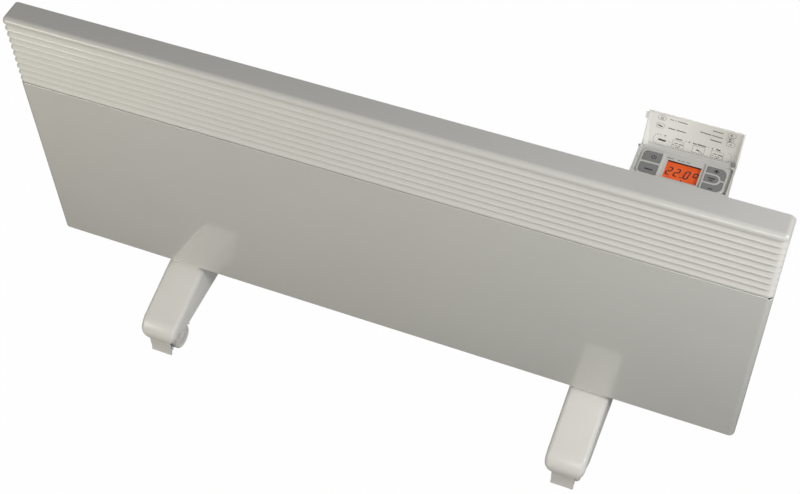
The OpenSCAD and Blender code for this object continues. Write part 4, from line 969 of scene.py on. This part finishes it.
for name in ("foot_left", "foot_right"):
    foot_low, foot_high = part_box(name)
    foot_x = (foot_low.x + foot_high.x) / 2
    bm = bmesh.new()
    # The side view starts on the floor, so that the rounding doesn't end at the lower edge
    add_slab(bm, [
        (-foot_reach, 0, 0), (foot_reach, 0, 0), (foot_reach, shoulder_z, nose_tangent),
        (0, foot_peak, foot_peak_r), (-foot_reach, shoulder_z, nose_tangent)],
        across(foot_x - foot_half), 2 * foot_half, steps=14)
    bmesh.ops.recalc_face_normals(bm, faces=bm.faces)
    long_edges = [edge for edge in side_edges(bm)
                  if max(vert.co.z for vert in edge.verts) > foot_low.z + mm]
    round_edges(bm, long_edges, foot_edge_r, steps=8)
    cut_across(bm, (0, 0, foot_low.z), (0, 0, 1), clear_inner=True)
    for step in range(nose_cuts):
        cut_across(bm, (0, 0, foot_low.z + nose_tuck_h * (step + 1) / nose_cuts), (0, 0, 1))
    for step in range(nose_cuts):
        for end in (-1, 1):
            spot_y = end * (foot_reach - nose_tuck_len * step / (nose_cuts - 1))
            cut_across(bm, (0, spot_y, 0), (0, 1, 0))
    for vert in bm.verts:
        share = held((abs(vert.co.y) - foot_reach) / nose_tuck_len + 1)
        drop = max(foot_low.z + nose_tuck_h - vert.co.z, 0) / nose_tuck_h
        tuck = share * share * (3 - 2 * share) * (1 - math.sqrt(1 - drop * drop * tuck_round))
        vert.co.x -= math.copysign(nose_tuck[0] * tuck, vert.co.x - foot_x)
        vert.co.y -= math.copysign(nose_tuck[1] * tuck, vert.co.y)
    bmesh.ops.solidify(bm, geom=bm.faces[:], thickness=foot_wall)
    for vert in bm.verts:
        low_share = 1 - held((vert.co.z - foot_low.z) / (2 * nose_drop))
        front_share = held((abs(vert.co.y) - foot_reach) / nose_drop_len + nose_drop_lead)
        lobe_share = math.exp(-((vert.co.x - foot_x) / nose_lobe_half) ** 4)
        vert.co.z = (max(vert.co.z, foot_low.z)
                     - low_share * front_share ** 2 * (nose_drop + nose_lobe * lobe_share))
    make_piece(name + "_shell", bm, foot_plastic, stands_for=[name], edge=0.4 * mm)
    bm = bmesh.new()
    seat_z = foot_high.z - pad_seat
    pad = box_corners(-pad_half_x, -pad_half_y, pad_half_x, pad_half_y, pad_r)
    for low_z, high_z, hole_r in ((foot_high.z - pad_h, seat_z, screw_well_r),
                                  (seat_z, foot_high.z, screw_hole_r)):
        screw_holes = [box_corners(x - hole_r, -hole_r, x + hole_r, hole_r, hole_r * full_round)
                       for x in (-foot_screw_x, foot_screw_x)]
        pierced_plate(bm, pad, screw_holes, Matrix.Translation((foot_x, 0, low_z)), high_z - low_z)
    for end in (-1, 1):
        add_boss(bm, (foot_x, end * stem_y), foot_low.z + boss_lift,
                 ceiling_at(stem_y) - foot_wall / 2)
        for share in rib_shares:
            rib_y, rib_low = share * stem_y, foot_low.z + rib_lift
            top = ceiling_at(rib_y)
            rib_place = Matrix(((1, 0, 0, foot_x), (0, 0, 1, end * rib_y - rib_t / 2),
                                (0, 1, 0, 0), (0, 0, 0, 1)))
            add_slab(bm, [
                (-rib_half, rib_low, 0), (rib_half, rib_low, 0), (rib_half, top - rib_cut, 0),
                (rib_half - rib_cut, top, 0), (rib_cut - rib_half, top, 0),
                (-rib_half, top - rib_cut, 0)], rib_place, rib_t)
        spine_low = foot_low.z + spine_lift
        add_slab(bm, [
            (end * pad_half_y, spine_low, 0), (end * stem_y, spine_low, 0),
            (end * stem_y, ceiling_at(stem_y), 0), (end * pad_half_y, ceiling_at(pad_half_y), 0)],
            across(foot_x - rib_t / 2), rib_t)
    make_piece(name + "_inside", bm, foot_plastic, stands_for=[name], edge=0.25 * mm)

# Castors: a hooded fork on a steel stem, two wheels on one axle and, at the front, a
# brake pedal. Each piece rides on its own body, so it swivels, rolls or tips.
castor_plastic = moulded_plastic("castor_plastic", (0.76, 0.75, 0.71), 0.34)
wheel_plastic = moulded_plastic("wheel_plastic", (0.74, 0.73, 0.695), 0.4)
stem_steel = turned_steel("stem_steel", (0.6, 0.6, 0.61), 0.25)
smoothed_copy("stem_sockets", stem_steel)
wheel_r = 20 * mm
wheel_steps = 64
pedal_pull = Vector((0, 0.2, 0.32))
# The half section of a wheel: radius, distance from its inner face and rounding, in mm
wheel_outline = (
    (3.05, 0, 0), (16, 0, 0.3), (17.4, 0.8, 0.3), (18.2, 0.6, 0.3), (20, 2, 0.9), (20, 8, 0),
    (20, 13.4, 1.3), (17.6, 16, 0.8), (15.8, 16, 0.3), (15.3, 15.3, 0.3), (7.6, 15.2, 0.3),
    (7.2, 15.8, 0.3), (0, 16, 0), (0, 14.7, 0), (5, 14.7, 0.2), (5, 13, 0.2), (3.05, 13, 0))
for corner in ("fl", "fr", "rl", "rr"):
    swivel = "castor_" + corner
    smoothed_copy("castor_fork_" + corner, castor_plastic, swivel, edge=0.5 * mm)
    smoothed_copy("castor_pins_" + corner, stem_steel, swivel, edge=0.15 * mm)
    fork_low, fork_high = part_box("castor_fork_" + corner)
    fork_x = (fork_low.x + fork_high.x) / 2
    for which in ("outer", "inner"):
        node = f"wheel_{corner}_{which}"
        low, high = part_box(node)
        centre = (low + high) / 2
        outward = 1 if centre.x > fork_x else -1
        inner_face = low.x if outward > 0 else high.x
        section_place = Matrix(((0, outward, 0, inner_face), (1, 0, 0, centre.y),
                                (0, 0, 1, centre.z), (0, 0, 0, 1)))
        section = [in_mm(*point) for point in wheel_outline]
        bm = bmesh.new()
        outline = flat_outline(bm, section, section_place, steps=3)
        ring = dict.fromkeys(item for face in outline for item in (*face.verts, *face.edges))
        bmesh.ops.delete(bm, geom=outline, context="FACES_ONLY")
        bmesh.ops.spin(bm, geom=list(ring), cent=centre, axis=(1, 0, 0), angle=2 * math.pi,
                       steps=wheel_steps, use_merge=True)
        make_piece(node + "_turned", bm, wheel_plastic, node, [node])
    if corner[0] == "f":
        pedal = smoothed_copy("brake_pedal_" + corner, castor_plastic, "pedal_" + corner,
                              edge=0.4 * mm)
        # The plate is drawn shorter, as in the photograph
        for vert in pedal.data.vertices:
            vert.co += pedal_pull * max(wheel_r - vert.co.z, 0)
